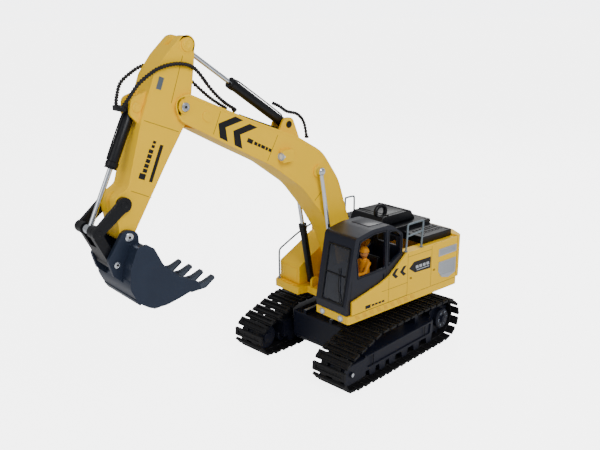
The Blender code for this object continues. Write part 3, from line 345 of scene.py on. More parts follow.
def turned(profile, start, end, steps=36):
    """A profile of (radius, distance) points, spun round the line from one point to another."""
    bm = bmesh.new()
    ring = [bm.verts.new((radius * MM, 0, distance * MM)) for radius, distance in profile]
    edges = [bm.edges.new(pair) for pair in zip(ring, ring[1:])]
    bmesh.ops.spin(bm, geom=ring + edges, cent=(0, 0, 0), axis=(0, 0, 1), angle=math.tau, steps=steps,
                   use_merge=True)
    bmesh.ops.remove_doubles(bm, verts=bm.verts, dist=1e-6)
    bmesh.ops.recalc_face_normals(bm, faces=bm.faces)
    start, end = Vector(start), Vector(end)
    turn = (end - start).to_track_quat("Z", "Y").to_matrix().to_4x4()
    bmesh.ops.transform(bm, verts=bm.verts, matrix=Matrix.Translation(start) @ turn)
    return bm


def dome(radius, height, rim=0.4):
    """The profile of a washer head with a domed top, for turned()."""
    points = [(0, 0), (radius, 0), (radius, height - rim)]
    for step in range(1, 6):
        angle = math.pi / 2 * step / 5
        points.append((radius * math.cos(angle), height - rim + rim * math.sin(angle)))
    return points[:-1] + [(0, height)]


def swept(points, radius, name, sides=6, radii=None):
    """A tube through points of the frame, as a bmesh. Each point may have its own share of the radius."""
    curve = bpy.data.curves.new(name, "CURVE")
    curve.dimensions = "3D"
    curve.bevel_depth = radius * MM
    curve.bevel_resolution = sides
    curve.use_fill_caps = True
    spline = curve.splines.new("POLY")
    spline.points.add(len(points) - 1)
    for index, (point, spot) in enumerate(zip(spline.points, points)):
        point.co = (*spot, 1)
        point.radius = radii[index] if radii else 1.0
    guide = bpy.data.objects.new(name, curve)
    mesh = bpy.data.meshes.new_from_object(guide)
    bm = bmesh.new()
    bm.from_mesh(mesh)
    bmesh.ops.remove_doubles(bm, verts=bm.verts, dist=1e-6)
    bmesh.ops.recalc_face_normals(bm, faces=bm.faces)
    bpy.data.objects.remove(guide)
    bpy.data.curves.remove(curve)
    bpy.data.meshes.remove(mesh)
    return bm


def smooth_path(points, spacing):
    """Points along a Catmull-Rom curve through the given ones, about evenly spaced."""
    route = [Vector(point) for point in points]
    route = [2 * route[0] - route[1]] + route + [2 * route[-1] - route[-2]]
    dense = []
    for before, start, end, after in zip(route, route[1:], route[2:], route[3:]):
        for step in range(40):
            t = step / 40
            dense.append(0.5 * (2 * start + (end - before) * t
                                + (2 * before - 5 * start + 4 * end - after) * t ** 2
                                + (3 * start - before - 3 * end + after) * t ** 3))
    dense.append(route[-2])
    even = [dense[0]]
    for spot in dense:
        if (spot - even[-1]).length >= spacing:
            even.append(spot)
    return even


FLAT_ENOUGH = 2e-5


def flange(node, normal, level, width, height, name, finish, rounding=0.08):
    """A raised rim round every edge of a solid's flat side, as a moulded frame has."""
    bm = merged(node)
    normal = Vector(normal)
    keep = {face for face in bm.faces if face.normal.dot(normal) > 0.999
            and abs(face.calc_center_median().dot(normal) - level) < FLAT_ENOUGH}
    bmesh.ops.delete(bm, geom=[face for face in bm.faces if face not in keep], context="FACES")
    print(name, "from", len(keep), "faces")
    ring = bmesh.ops.inset_region(bm, faces=bm.faces[:], thickness=width * MM, depth=0,
                                  use_even_offset=True, use_boundary=True)["faces"]
    ring = set(ring)
    bmesh.ops.delete(bm, geom=[face for face in bm.faces if face not in ring], context="FACES")
    made = bmesh.ops.extrude_face_region(bm, geom=bm.faces[:])
    moved = [item for item in made["geom"] if isinstance(item, bmesh.types.BMVert)]
    bmesh.ops.translate(bm, verts=moved, vec=normal * height * MM)
    bmesh.ops.recalc_face_normals(bm, faces=bm.faces)
    return put(bm, name, BODY_OF[node], finish, (), rounding, 1)


print("helpers ready")

# %% [markdown]
# The camera comes early, because everything is judged through it. It stands to the front left of the
# machine, a little above it, and is rolled by a hair as a hand-set tripod is.

# %% Camera
def make_camera():
    data = bpy.data.cameras.new("camera")
    data.lens = 42.2
    data.sensor_width = 36
    data.clip_start = 0.01
    camera = bpy.data.objects.new("camera", data)
    bpy.context.scene.collection.objects.link(camera)
    toward_viewer = Vector((0.6237, 0.7276, 0.2857))
    camera.rotation_mode = "QUATERNION"
    turn = (-toward_viewer).to_track_quat("-Z", "Y")
    roll = Matrix.Rotation(math.radians(-0.45), 4, "Z").to_quaternion()
    camera.rotation_quaternion = turn @ roll
    camera.location = place(557.1, 559.7, 385.0)
    bpy.context.scene.camera = camera
    return camera


print("camera at", [round(value, 3) for value in make_camera().location])

# %% [markdown]
# The tracks. A real rubber track of this kind is a row of stiff shoes on a narrow chain, so light shows
# through between the shoes at their ends. The design holds each track as one solid belt with a flat step
# for every shoe. The flat steps tell where each shoe goes, and one shoe with its grouser bars is copied
# to all of them.

# %% Tracks
SHOE_LENGTH = 10.3
SHOE_WIDTH = 45.6
SMALL_STEP, LARGE_STEP = 440, 640


def shoe_block(x, y, z, edge):
    """A rounded box about the origin of a shoe: x along the track, y across it, z outward."""
    bm = block(x, y, z, edge, 1)
    bmesh.ops.translate(bm, verts=bm.verts, vec=-SLEW)
    return bm


def shoe_mesh():
    half = SHOE_WIDTH / 2
    long = SHOE_LENGTH / 2
    parts = [shoe_block((-long, long), (-half, half), (-3.3, -1.9), 0.25),
             shoe_block((-long + 0.2, -long + 3.0), (-half, half), (-2.2, 0), 0.3),
             shoe_block((long - 3.6, long - 2.0), (-half + 3, half - 3), (-2.2, -0.9), 0.2)]
    for side in (-1, 1):
        parts.append(shoe_block((-long + 2.6, long - 1.2), sorted((side * (half - 4.6), side * half)),
                                (-2.2, -0.7), 0.25))
        parts.append(shoe_block((-6.6, 6.6), (side * 9 - 4.5, side * 9 + 4.5), (-5.0, -3.0), 0.3))
        parts.append(shoe_block((-1.6, 1.6), (side * 9 - 1.2, side * 9 + 1.2), (-2.2, -1.5), 0.15))
    return joined(parts)


def shoe_places(node):
    """The middle and outward direction of each flat step of the track's solid."""
    bm = merged(node)
    middle = bm_middle(bm)
    spots = []
    for face in bm.faces:
        area = face.calc_area() / MM ** 2
        level = abs(face.normal.dot(SPIN_AXIS)) < 0.01
        if SMALL_STEP < area < LARGE_STEP and level and len(face.verts) == 4:
            spot = face.calc_center_median()
            if (spot - middle).dot(face.normal) > 0:
                spots.append((spot, face.normal.copy()))
    bm.free()
    return spots


def bm_middle(bm):
    low = Vector([min(vert.co[axis] for vert in bm.verts) for axis in range(3)])
    high = Vector([max(vert.co[axis] for vert in bm.verts) for axis in range(3)])
    return (low + high) / 2


for side in ("left", "right"):
    template = shoe_mesh()
    spots = shoe_places("track_" + side)
    whole = bmesh.new()
    for spot, outward in spots:
        travel = SPIN_AXIS.cross(outward)
        frame_of_shoe = Matrix((travel, SPIN_AXIS, outward)).transposed().to_4x4()
        shoe = template.copy()
        bmesh.ops.transform(shoe, verts=shoe.verts, matrix=Matrix.Translation(spot) @ frame_of_shoe)
        add(whole, shoe)
    template.free()
    put(whole, "track_shoes_" + side, "undercarriage", RUBBER, ["track_" + side], smooth=40)
    print(len(spots), "shoes on the", side)

# %% [markdown]
# The undercarriage's mouldings keep their designed shapes with rounded edges. Raised lips run along the
# sides of the frames, as on the toy. Wheels and bolts are turned, so that they are truly round.

# %% Undercarriage shells
for node in ("carbody", "battery_hatch", "track_frame_left", "track_frame_right", "idler_cover_left",
             "idler_cover_right", "drive_motor_left", "drive_motor_right"):
    shell(node, NAVY, 0.5)
for node in ("slew_ring_lower", "slew_ring_upper"):
    shell(node, STEEL, 0.3)
shell("battery_pack", WRAP, 0.4)


TRACK_MIDDLE = 62.8


def on_track(x, side, y, z):
    """A point beside a track: x along it, y outward from the middle line of that track."""
    sign = 1 if side == "left" else -1
    return TO_TRACKS @ place(x, sign * (TRACK_MIDDLE + y), z)


# %% Wheels, bolts and lips
for side in ("left", "right"):
    sign = 1 if side == "left" else -1
    centre = pivot_of(f"sprocket_{side}_spin")
    out = SPIN_AXIS * sign
    parts = [merged("drive_sprocket_" + side)]
    hub = [(0, 15.4), (3.0, 15.4), (3.4, 15.8), (3.4, 18.2), (2.8, 18.8), (0, 18.8)]
    parts.append(turned(hub, centre, centre + out))
    parts.append(turned([(11.6, 12), (12.4, 12.4), (12.4, 14.2), (11.6, 14.8), (9.9, 15.6), (9.9, 12),
                         (11.6, 12)], centre, centre + out))
    put(joined(parts), f"drive_sprocket_{side}_wheel", f"sprocket_{side}", NAVY,
        [f"drive_sprocket_{side}"], 0.3)
    bolts = []
    for index in range(6):
        turn = Matrix.Rotation(math.tau * index / 6, 4, SPIN_AXIS)
        foot = centre + turn @ Vector((8.3 * MM, 0, 0))
        bolts.append(turned([(0, 15), (1.7, 15), (1.7, 16.9), (1.3, 17.3), (0, 17.3)], foot, foot + out, 6))
    put(joined(bolts), f"sprocket_bolts_{side}", f"sprocket_{side}", BOLT_METAL_AND_SHEEN, smooth=25)
    centre = pivot_of(f"idler_{side}_spin")
    wheel = [(0, -15), (5.8, -15), (6.0, -12.4), (13.6, -12.4), (14.6, -11.6), (14.6, -5.6), (12.4, -5.0),
             (12.4, -2.4), (14.6, -1.6), (14.6, 4.6), (13.6, 5.6), (6.0, 5.6), (5.8, 8.6), (0, 8.6)]
    put(turned(wheel, centre, centre + out, 48), f"front_idler_{side}_wheel", f"idler_{side}", NAVY,
        [f"front_idler_{side}"], 0.3)
    screw = on_track(90.5, side, 17.0, 20.6)
    put(turned(dome(2.7, 2.6, 0.7), screw, screw + out), f"idler_screw_{side}", "undercarriage", STEEL)
    rollers = []
    for x in (52.8, 35.0, 17.0, -6.5, -30.0, -55.6):
        foot = on_track(x + 9, side, 9.0, 12.6)
        rollers.append(turned([(0, -18), (6.2, -18), (6.8, -17.4), (6.8, -12), (5.2, -11.4), (5.2, -6.6),
                               (6.8, -6), (6.8, -0.6), (6.2, 0), (3.0, 0.2), (2.6, 1.2), (0, 1.2)],
                              foot, foot + out, 28))
    put(joined(rollers), f"track_rollers_{side}", "undercarriage", NAVY)

# Two pale bars on the carbody's top are painted sheen: the light on its top, drawn as lighter strips.
sheen_strips = []
for y in (-20.0, 20.0):
    sheen_strips.append(block((-46, 56), (y - 1.6, y + 1.6), (53.6, 54.6), 0.3))
bars = joined(sheen_strips)
bmesh.ops.transform(bars, verts=bars.verts, matrix=TO_TRACKS)
put(bars, "carbody_painted_sheen_bars", "undercarriage", BOLT_METAL_AND_SHEEN)

# %% Lips on the track frames
for side in ("left", "right"):
    sign = 1 if side == "left" else -1
    lips = [block((-60.0, 64.0), sorted((sign * 78.8, sign * 80.6)), (31.8, 33.4), 0.4),
            block((69.0, 100.0), sorted((sign * 78.8, sign * 80.4)), (29.4, 31.0), 0.4)]
    for x in (-46, 52):
        lips.append(block((x - 0.6, x + 0.6), sorted((sign * 78.9, sign * 79.9)), (18, 30.5), 0.2))
    for x in (-28, 4, 30):
        lips.append(block((x - 5, x + 5), sorted((sign * 76.6, sign * 78.0)), (29.2, 30.4), 0.2))
    whole = joined(lips)
    bmesh.ops.transform(whole, verts=whole.verts, matrix=TO_TRACKS)
    put(whole, f"frame_lips_{side}", "undercarriage", NAVY)

# %% [markdown]
# The house. Doors on the toy are only thin grooves in one moulding, so they are drawn as fine lines of
# darker yellow, painted shade of the grooves, that stand almost flush. The grilles are silver frames with
# real slats, and the stickers are thin black shapes: plain arrows and bars, with no lettering.

# %% House shells
for node, finish, rounding in (("deck", YELLOW, 0.6), ("side_panel_left", YELLOW, 0.7),
                               ("side_panel_right", YELLOW, 0.7), ("counterweight", YELLOW, 1.4),
                               ("engine_hood", BLACK, 0.9), ("air_intake_box", BLACK, 1.4),
                               ("tool_box", YELLOW, 1.0), ("cab_shell", CAB, 0.7),
                               ("driver_seat", BLACK, 1.2), ("slew_motor", STEEL, 0.4),
                               ("loudspeaker", BLACK, 0.6), ("circuit_board", BOARD, 0.1),
                               ("windshield", GLASS, 0.2)):
    shell(node, finish, rounding)

SIDE = {"left": 77.0, "right": -77.0}


def strip(start, end, y, width=0.5, proud=0.07):
    """A thin line on a side wall, between two (x, z) points."""
    along = Vector((end[0] - start[0], end[1] - start[1])).normalized()
    across = Vector((-along.y, along.x)) * width / 2
    corners = [(start[0] + across.x, start[1] + across.y), (end[0] + across.x, end[1] + across.y),
               (end[0] - across.x, end[1] - across.y), (start[0] - across.x, start[1] - across.y)]
    sign = 1 if y > 0 else -1
    return plate(corners, (y - sign * 0.3, y + sign * proud))


def sticker(outline, y, proud=0.12):
    sign = 1 if y > 0 else -1
    return plate(outline, (y - sign * 0.3, y + sign * proud))


# %% Seams, grilles and stickers on the sides
for side, y in SIDE.items():
    # The seam lines and the door latches are drawn in the darker seam yellow, which is painted shade.
    lines = [((-14.8, 130.5), (-14.8, 81.4)), ((-56.2, 130.5), (-56.2, 81.4)),
             ((-103.2, 131), (-103.2, 81.4)), ((-56.2, 126.6), (-14.8, 126.6))]
    if side == "left":
        lines += [((16, 110.5), (16, 81.4)), ((27.0, 96.4), (-14.8, 96.4)), ((71, 81.2), (-14.8, 81.2))]
    put(joined([strip(start, end, y) for start, end in lines]), f"door_seams_{side}", "house", SEAM_SHADE)
    latches = [block((x - 1.6, x + 1.6), sorted((y - 0.2 * y / 77, y + 0.5 * y / 77)), (99, 101.4), 0.3)
               for x in (-20.5, -61.5)]
    put(joined(latches), f"door_latches_{side}", "house", SEAM_SHADE)

GRILLES = (((-68.6, -101.6), (114.4, 123.6), 5), ((-69.4, -101.6), (88.6, 107.4), 10))
for side, y in SIDE.items():
    sign = 1 if y > 0 else -1
    parts = []
    for (front, rear), (low, high), count in GRILLES:
        face = sorted((y - sign * 0.2, y + sign * 0.55))
        shield = low < 100
        outline = [(front, high), (front, low + 7), (-76, low - 1), (-88, low - 4), (rear, low),
                   (rear, high)]
        if not shield:
            outline = [(front, high), (front, low), (rear, low), (rear, high)]
        parts.append(plate(outline, face, 0.2))
        for index in range(count):
            z = low + 1.6 + (high - low - 2.4) * index / count
            inset = 3.2 if shield and z < low + 6 else 1.4
            parts.append(block((rear + 1.4, front - inset), sorted((y, y + sign * 0.95)), (z, z + 0.7),
                               0.2, 1))
    put(joined(parts), f"side_grilles_{side}", "house", SILVER)

CHEVRON = [(11.4, 112.0), (5.4, 117.8), (0.6, 117.3), (6.0, 111.8), (0.9, 107.6), (5.2, 106.2)]
for side, y in SIDE.items():
    shift = 0.0 if side == "left" else -41.0
    parts = []
    for step in (0.0, -13.0):
        parts.append(sticker([(x + step + shift, z) for x, z in CHEVRON], y))
    if side == "left":
        parts.append(sticker([(-17, 112.1), (-25.2, 118.5), (-54.7, 118.2), (-54.7, 104.4),
                              (-27.3, 105.2)], y))
        parts.append(sticker([(52.3, 86.8), (52.3, 82.9), (44.4, 82.9), (44.4, 86.8)], y))
        for index in range(4):
            x = 42.6 - index * 5.2
            parts.append(sticker([(x, 86.0), (x - 4.2, 86.0), (x - 4.6, 83.8), (x - 0.4, 83.8)], y))
    put(joined(parts), f"side_stickers_{side}", "house", DECAL)
bars = [sticker([(-28 - index * 6.2, 113.2), (-32.6 - index * 6.2, 113.2), (-33.4 - index * 6.2, 109.6),
                 (-28.8 - index * 6.2, 109.6)], SIDE["left"], 0.2) for index in range(4)]
bars.append(sticker([(-30, 108.2), (-52, 108.2), (-52, 107.2), (-30, 107.2)], SIDE["left"], 0.2))
put(joined(bars), "sticker_bars", "house", SILVER)

# %% [markdown]
# The black hood has a raised panel between two ribs, rows of louvres and a few screws. The tail has thin
# panel seams, drawn as lines of painted shade, and two red lamps.

# %% Hood, tail and deck details
parts = [block((-76, -34), (-21, 19), (157.6, 158.5), 0.4)]
for x in (-74, -40):
    parts.append(block((x - 1.2, x + 1.2), (-25, 23), (157, 159.2), 0.5))
for index in range(7):
    x = -97 + index * 6
    for y in (-58, 45):
        parts.append(block((x, x + 3.4), (y, y + 14), (139.6, 140.7), 0.35))
for x, y in ((-98, -63), (-98, 63), (-56, -63), (-56, 63), (-98, -31), (-98, 31), (-24, -31), (-24, 31)):
    top = 146.0 if abs(y) < 36 else 140.0
    spot = place(x, y, top - 0.2)
    parts.append(turned(dome(1.7, 1.0, 0.5), spot, spot + Vector((0, 0, 1)), 16))
put(joined(parts), "hood_louvres", "house", BLACK)

TAIL = -121.05
# The tail seams are lines of painted shade.
tail = [block((TAIL, TAIL + 1), (y - 0.3, y + 0.3), (84, 131), 0) for y in (-34, 34)]
tail += [block((TAIL, TAIL + 1), (-33.7, 33.7), (z, z + 0.6), 0) for z in (119, 95)]
put(joined(tail), "tail_seams", "house", SEAM_SHADE)
lamps = [block((TAIL, TAIL + 2), sorted((sign * 40, sign * 50)), (100, 105), 0) for sign in (1, -1)]
put(joined(lamps), "tail_lamps", "house", RED_LENS)

DECK_TOP = 80.7
treads = []
for index in range(5):
    y = -60 + index * 6
    treads.append(block((54.8, 61.0), (y, y + 2.6), (DECK_TOP, DECK_TOP + 0.6), 0.25))
for index in range(6):
    treads.append(block((14 + index * 6, 16.4 + index * 6), (20.6, 25.8), (80.4, 81.2), 0.25))
put(joined(treads), "deck_treads", "house", YELLOW)

TOOL_BOX_SIDE = -64.0
# Seams round the skirt and the tool box panel are lines of painted shade.
skirt = [strip((72, 80.9), (-103, 80.9), SIDE["left"], 0.5),
         strip((36, 80.9), (-103, 80.9), SIDE["right"], 0.5)]
panel = [(50, 84), (50, 102), (26, 115.5), (-4, 127.5), (-4, 84), (50, 84)]
skirt += [strip(start, end, TOOL_BOX_SIDE, 0.5) for start, end in zip(panel, panel[1:])]
skirt.append(strip((24, 84), (24, 115.5), TOOL_BOX_SIDE, 0.5))
put(joined(skirt), "skirt_seams", "house", SEAM_SHADE)
marks = []
for index in range(9):
    x = 68 - index * 11
    marks.append(sticker([(x, 79.6), (x - 5, 79.6), (x - 8, 74.4), (x - 3, 74.4)], SIDE["left"], 0.3))
put(joined(marks), "skirt_marks", "house", SKIRT_MARK)

put(joined([block((53.8, 54.7), (-60, -33), (84, 100), 0.5)]), "tool_box_front_panel", "house", YELLOW)

# %% Lamps and rails
for side, y in (("right", 38.0), ("left", 66.0)):
    spot = place(78.1, y, 76.3)
    ahead = Vector((1, 0, 0))
    put(turned([(2.8, 0), (3.5, 0), (3.5, 1.0), (3.1, 1.5), (2.7, 1.2), (2.8, 0)], spot, spot + ahead, 28),
        f"headlight_ring_{side}", "house", SILVER)
    put(turned(dome(2.7, 1.5, 0.9), spot, spot + ahead, 28), f"headlight_{side}_lens", "house", LENS,
        [f"headlight_{side}"])

RAILS = {
    "handrail_left": ([(-14, 74, 132.2), (-15.4, 74, 150), (-16, 74, 161), (-18.6, 74, 163.2),
                       (-39.4, 74, 163.4), (-42, 74, 161), (-41.2, 74, 150), (-40, 74, 132.2)],
                      [(-15.4, 74, 149.5), (-41.2, 74, 151.5)]),
    "handrail_right": ([(58, -61, 80.8), (58, -61, 112), (56.4, -60.6, 118.4), (50, -59.4, 123),
                        (30, -55, 136), (7, -50, 146.6), (2.6, -49.2, 146.4), (2, -49, 141),
                        (2, -49, 131.6)], None),
    "handrail_middle": ([(-21, -30, 146.2), (-21, -30, 170.6), (-23.4, -30, 173), (-33.6, -30, 173),
                         (-36, -30, 170.6), (-36, -30, 146.2)], None),
}
for node, (route, crossbar) in RAILS.items():
    parts = [swept(smooth_path([place(*point) for point in route], 1.2 * MM), 1.1, node)]
    if crossbar:
        parts.append(swept([place(*point) for point in crossbar], 1.0, node + "_bar"))
    for foot in (route[0], route[-1]):
        base = place(*foot)
        parts.append(turned([(0, 0), (2.0, 0), (2.0, 0.7), (1.5, 1.2), (0, 1.2)], base,
                            base + Vector((0, 0, 1)), 16))
    put(joined(parts), node + "_tube", "house", RAIL, [node])
loop = [(-46, 12, 158.3), (-46, 12, 164), (-42.5, 12, 167.6), (-38, 12, 168.6), (-33.5, 12, 167.6),
        (-30, 12, 164), (-30, 12, 158.3)]
put(swept(smooth_path([place(*point) for point in loop], 1.2 * MM), 2.5, "loop"), "lifting_loop_tube",
    "house", BLACK, ["lifting_loop"])

# %% [markdown]
# The cab: rubber seals round the windows, a roof hatch, a wiper, a door handle, two levers inside and the
# plain toy driver. The driver is a doll with two painted dots for eyes.

# %% Cab details
CAB_LEFT = 74.1
CAB_RIGHT = 28.0


def seal(outline, y, width=1.1, height=0.5):
    """A rubber bead round a window outline on a side wall."""
    bm = bmesh.new()
    sign = 1 if y > 40 else -1
    face = bm.faces.new([bm.verts.new(place(x, y, z)) for x, z in outline])
    ring = bmesh.ops.inset_region(bm, faces=[face], thickness=width * MM, use_even_offset=True,
                                  use_boundary=True)["faces"]
    keep = set(ring)
    bmesh.ops.delete(bm, geom=[item for item in bm.faces if item not in keep], context="FACES")
    made = bmesh.ops.extrude_face_region(bm, geom=bm.faces[:])
    moved = [item for item in made["geom"] if isinstance(item, bmesh.types.BMVert)]
    bmesh.ops.translate(bm, verts=moved, vec=(0, sign * height * MM, 0))
    bmesh.ops.recalc_face_normals(bm, faces=bm.faces)
    return bm


DOOR_WINDOW = [(18.6, 120.6), (61.4, 118.6), (63.4, 140), (59.2, 159.6), (38, 164.4), (18.6, 164.4)]
REAR_WINDOW = [(-5.9, 133.4), (14.9, 122.6), (14.9, 162.4), (3.4, 161.4), (-5.9, 154.6)]
seals = [seal(outline, y) for outline in (DOOR_WINDOW, REAR_WINDOW) for y in (CAB_LEFT, CAB_RIGHT)]
put(joined(seals), "window_seals", "house", BLACK, (), 0.15, 1)

door = [(17.2, 118.8), (17.2, 86), (68, 86), (72.6, 92), (70.2, 118)]
lines = [strip(start, end, CAB_LEFT, 0.6, 0.1) for start, end in zip(door, door[1:])]
lines.append(block((20.5, 22.0), (CAB_LEFT - 0.3, CAB_LEFT + 1.0), (106, 115), 0.4))
put(joined(lines), "cab_door_lines", "house", BLACK)

put(joined([block((14, 36), (38, 64), (168.3, 169.6), 0.4)]), "roof_hatch", "house", CAB)

window_turn = Vector((66.2 - 77.2, 0, 153 - 91)).normalized()


def on_windshield(share, y, proud):
    """A point on the windshield: share up it, y across, and proud of its glass."""
    foot = Vector((78.6, y, 91.0))
    out = Vector((window_turn.z, 0, -window_turn.x))
    return place(*(foot + window_turn * 62.9 * share + out * proud))


frame_route = [on_windshield(share, y, 0.2) for share, y in
               ((0.02, 37), (0.02, 69), (0.98, 69), (0.98, 37), (0.02, 37))]
parts = [swept([start, end], 0.9, "bead") for start, end in zip(frame_route, frame_route[1:])]
parts.append(swept([on_windshield(0.5, 36.6, 0.1), on_windshield(0.5, 69.4, 0.1)], 0.8, "bar"))
wiper = [on_windshield(0.03, 66, 0.9), on_windshield(0.3, 60, 1.1), on_windshield(0.62, 58, 1.0)]
parts.append(swept(wiper, 0.5, "wiper"))
put(joined(parts), "windshield_frame", "house", BLACK)

levers = []
for y in (40.6, 61.6):
    levers.append(swept([place(50, y + 0.5, 90), place(49.6, y + 0.5, 104), place(48.8, y + 0.5, 111)], 0.9,
                        "lever"))
    knob = place(48.6, y + 0.5, 110.5)
    levers.append(turned(dome(2.0, 4.0, 1.6), knob, knob + Vector((0, 0, 1)), 16))
levers.append(block((56.5, 62), (34, 68), (84.2, 92), 0.8))
levers.append(block((12, 36), (30.8, 36), (84.2, 108), 1.0))
put(joined(levers), "cab_levers", "house", BLACK)


# %% Driver
NECK_HEIGHT = 0.1335
SKIN_GRAIN = 0.0008


def doll():
    """The figure's body: the design's solid remeshed into one soft skin."""
    mesh = bpy.data.meshes.new("doll")
    bm = merged("driver")
    head = [vert for vert in bm.verts if vert.co.z > NECK_HEIGHT]
    bmesh.ops.delete(bm, geom=head, context="VERTS")
    bmesh.ops.holes_fill(bm, edges=[edge for edge in bm.edges if edge.is_boundary])
    bmesh.ops.triangulate(bm, faces=bm.faces[:])
    bm.to_mesh(mesh)
    bm.free()
    figure = bpy.data.objects.new("doll", mesh)
    bpy.context.scene.collection.objects.link(figure)
    remesh = figure.modifiers.new("skin", "REMESH")
    remesh.mode = "VOXEL"
    remesh.voxel_size = SKIN_GRAIN
    smooth = figure.modifiers.new("soften", "SMOOTH")
    smooth.iterations = 6
    bpy.context.view_layer.update()
    soft = bpy.data.meshes.new_from_object(figure.evaluated_get(bpy.context.evaluated_depsgraph_get()))
    bpy.data.objects.remove(figure)
    result = bmesh.new()
    result.from_mesh(soft)
    bpy.data.meshes.remove(soft)
    return result


put(doll(), "driver_body", "house", VEST, ["driver"], smooth=80)


def egg(x, y, z, size, steps=20):
    """A ball stretched to three sizes."""
    bm = bmesh.new()
    bmesh.ops.create_uvsphere(bm, u_segments=steps, v_segments=steps // 2, radius=MM)
    bmesh.ops.transform(bm, verts=bm.verts, matrix=Matrix.Diagonal(Vector(size)).to_4x4())
    bmesh.ops.translate(bm, verts=bm.verts, vec=place(x, y, z))
    return bm


put(joined([egg(28.8, 51.1, 135.0, (5.0, 4.7, 6.2), 28), egg(33.6, 51.1, 134.2, (0.9, 0.7, 1.0), 12)]),
    "driver_head", "house", SKIN, smooth=80)
put(joined([egg(33.2, 51.1 + side * 1.9, 136.0, (0.5, 0.55, 0.6), 10) for side in (1, -1)]),
    "driver_eyes", "house", EYE_PAINT_AND_SOCKET_SHADE, smooth=80)
cap = turned([(0, 5.4), (2.6, 5.0), (4.6, 3.4), (5.5, 0.8), (5.6, 0), (5.1, 0), (5.0, 0.8), (4.0, 3.0),
              (2.2, 4.4), (0, 4.8)], place(28.6, 51.1, 136.6), place(28.6, 51.1, 137.6), 28)
put(cap, "driver_cap", "house", VEST, smooth=50)

# %% [markdown]
# The boom and arm are box mouldings with a raised edge and a few seams, drawn as lines of painted shade.
# Their stickers are big arrows, plain bars and a grey plate.

# %% Boom and arm
BOOM_SIDE = 17.0
ARM_SIDE = 13.5
shell("boom", YELLOW, 0.8)
shell("arm", YELLOW, 0.8)
for side, sign in (("left", 1), ("right", -1)):
    flange("boom", (0, sign, 0), BOOM_SIDE * MM, 2.4, 0.25, f"boom_edge_{side}", YELLOW)
    flange("arm", (0, sign, 0), ARM_SIDE * MM, 2.0, 0.25, f"arm_edge_{side}", YELLOW)

for side, sign in (("left", 1), ("right", -1)):
    y = sign * BOOM_SIDE
    # The boom's seams are lines of painted shade.
    seams = [strip((187.3, 300.6), (196.4, 280.2), y, 0.6), strip((60, 204), (72, 194), y, 0.6)]
    seams += [strip((120, 271), (134, 246), y, 0.6)]
    put(joined(seams), f"boom_seams_{side}", "boom", SEAM_SHADE)
    arrows = []
    for along in (0.0, 1.0):
        dx, dz = along * -16.6, along * -8.6
        arrows.append(sticker([(190.4 + dx, 289.6 + dz), (171.0 + dx, 294.2 + dz), (162.0 + dx, 289.8 + dz),
                               (182.6 + dx, 285.2 + dz), (180.4 + dx, 268.8 + dz),
                               (189.2 + dx, 273.4 + dz)], y, 0.14))
    slant = Vector((-0.895, -0.446))
    for index, (start, length, tall) in enumerate(((0, 7.0, 4.2), (9, 4.0, 3.2), (14, 3.4, 3.2),
                                                    (18.4, 5.0, 3.2), (24.4, 3.0, 3.2), (28.6, 3.6, 3.2))):
        foot = Vector((157.6, 270.6)) + slant * start
        far = foot + slant * length
        up = Vector((-slant.y, slant.x)) * -tall / 2
        corners = [tuple(foot + up), tuple(far + up), tuple(far - up), tuple(foot - up)]
        arrows.append(sticker(corners, y, 0.14))
    put(joined(arrows), f"boom_stickers_{side}", "boom", DECAL)
    pad = sticker([(207.6, 300.0), (203.4, 302.8), (199.0, 301.0), (196.8, 296.4), (199.2, 291.6),
                   (204.0, 292.6), (207.4, 296.2)], y, 0.7)
    put(pad, f"boom_pad_{side}", "boom", YELLOW, (), 0.35)

    y = sign * ARM_SIDE
    # The arm's seams are lines of painted shade.
    seams = [strip((264.4, 299.3), (231.0, 286.0), y, 0.6), strip((281.7, 239.9), (262.4, 230.6), y, 0.6),
             strip((222.6, 352), (236.8, 312), y, 0.6)]
    put(joined(seams), f"arm_seams_{side}", "arm", SEAM_SHADE)
    bar_shapes = [sticker([(264.0, 245.4), (250.3, 276.8), (247.2, 275.6), (260.9, 244.2)], y, 0.14)]
    run = Vector((250.3 - 264.0, 276.8 - 245.4)).normalized()
    over = Vector((run.y, -run.x))
    for start, length, wide in ((0, 5.2, 6.4), (6.4, 3.4, 4.4), (10.8, 3.4, 4.4), (15.2, 3.4, 4.4),
                                (19.6, 3.4, 4.4), (24.0, 3.4, 4.4), (29.2, 2.6, 3.0), (33.0, 2.6, 3.0)):
        foot = Vector((268.2, 247.4)) + run * start
        far = foot + run * length
        arrow = [tuple(foot), tuple(far), tuple(far + over * wide), tuple(foot + over * wide)]
        bar_shapes.append(sticker(arrow, y, 0.14))
    put(joined(bar_shapes), f"arm_stickers_{side}", "arm", DECAL)
    plate_shape = [(246.9, 335.8), (242.3, 333.9), (246.4, 323.8), (251.2, 325.5)]
    put(sticker(plate_shape, y, 0.2), f"arm_grey_plate_{side}", "arm", GREY_DECAL)

# %% [markdown]
# Pins and bosses are turned. A plated pin has a domed washer head, and its hexagon socket is a dark disc of
# painted shade. Where the toy only shows a moulded boss, the head has no socket and takes the colour of its
# moulding.

# %% Pins and bosses
PIN_RADIUS = 2.55


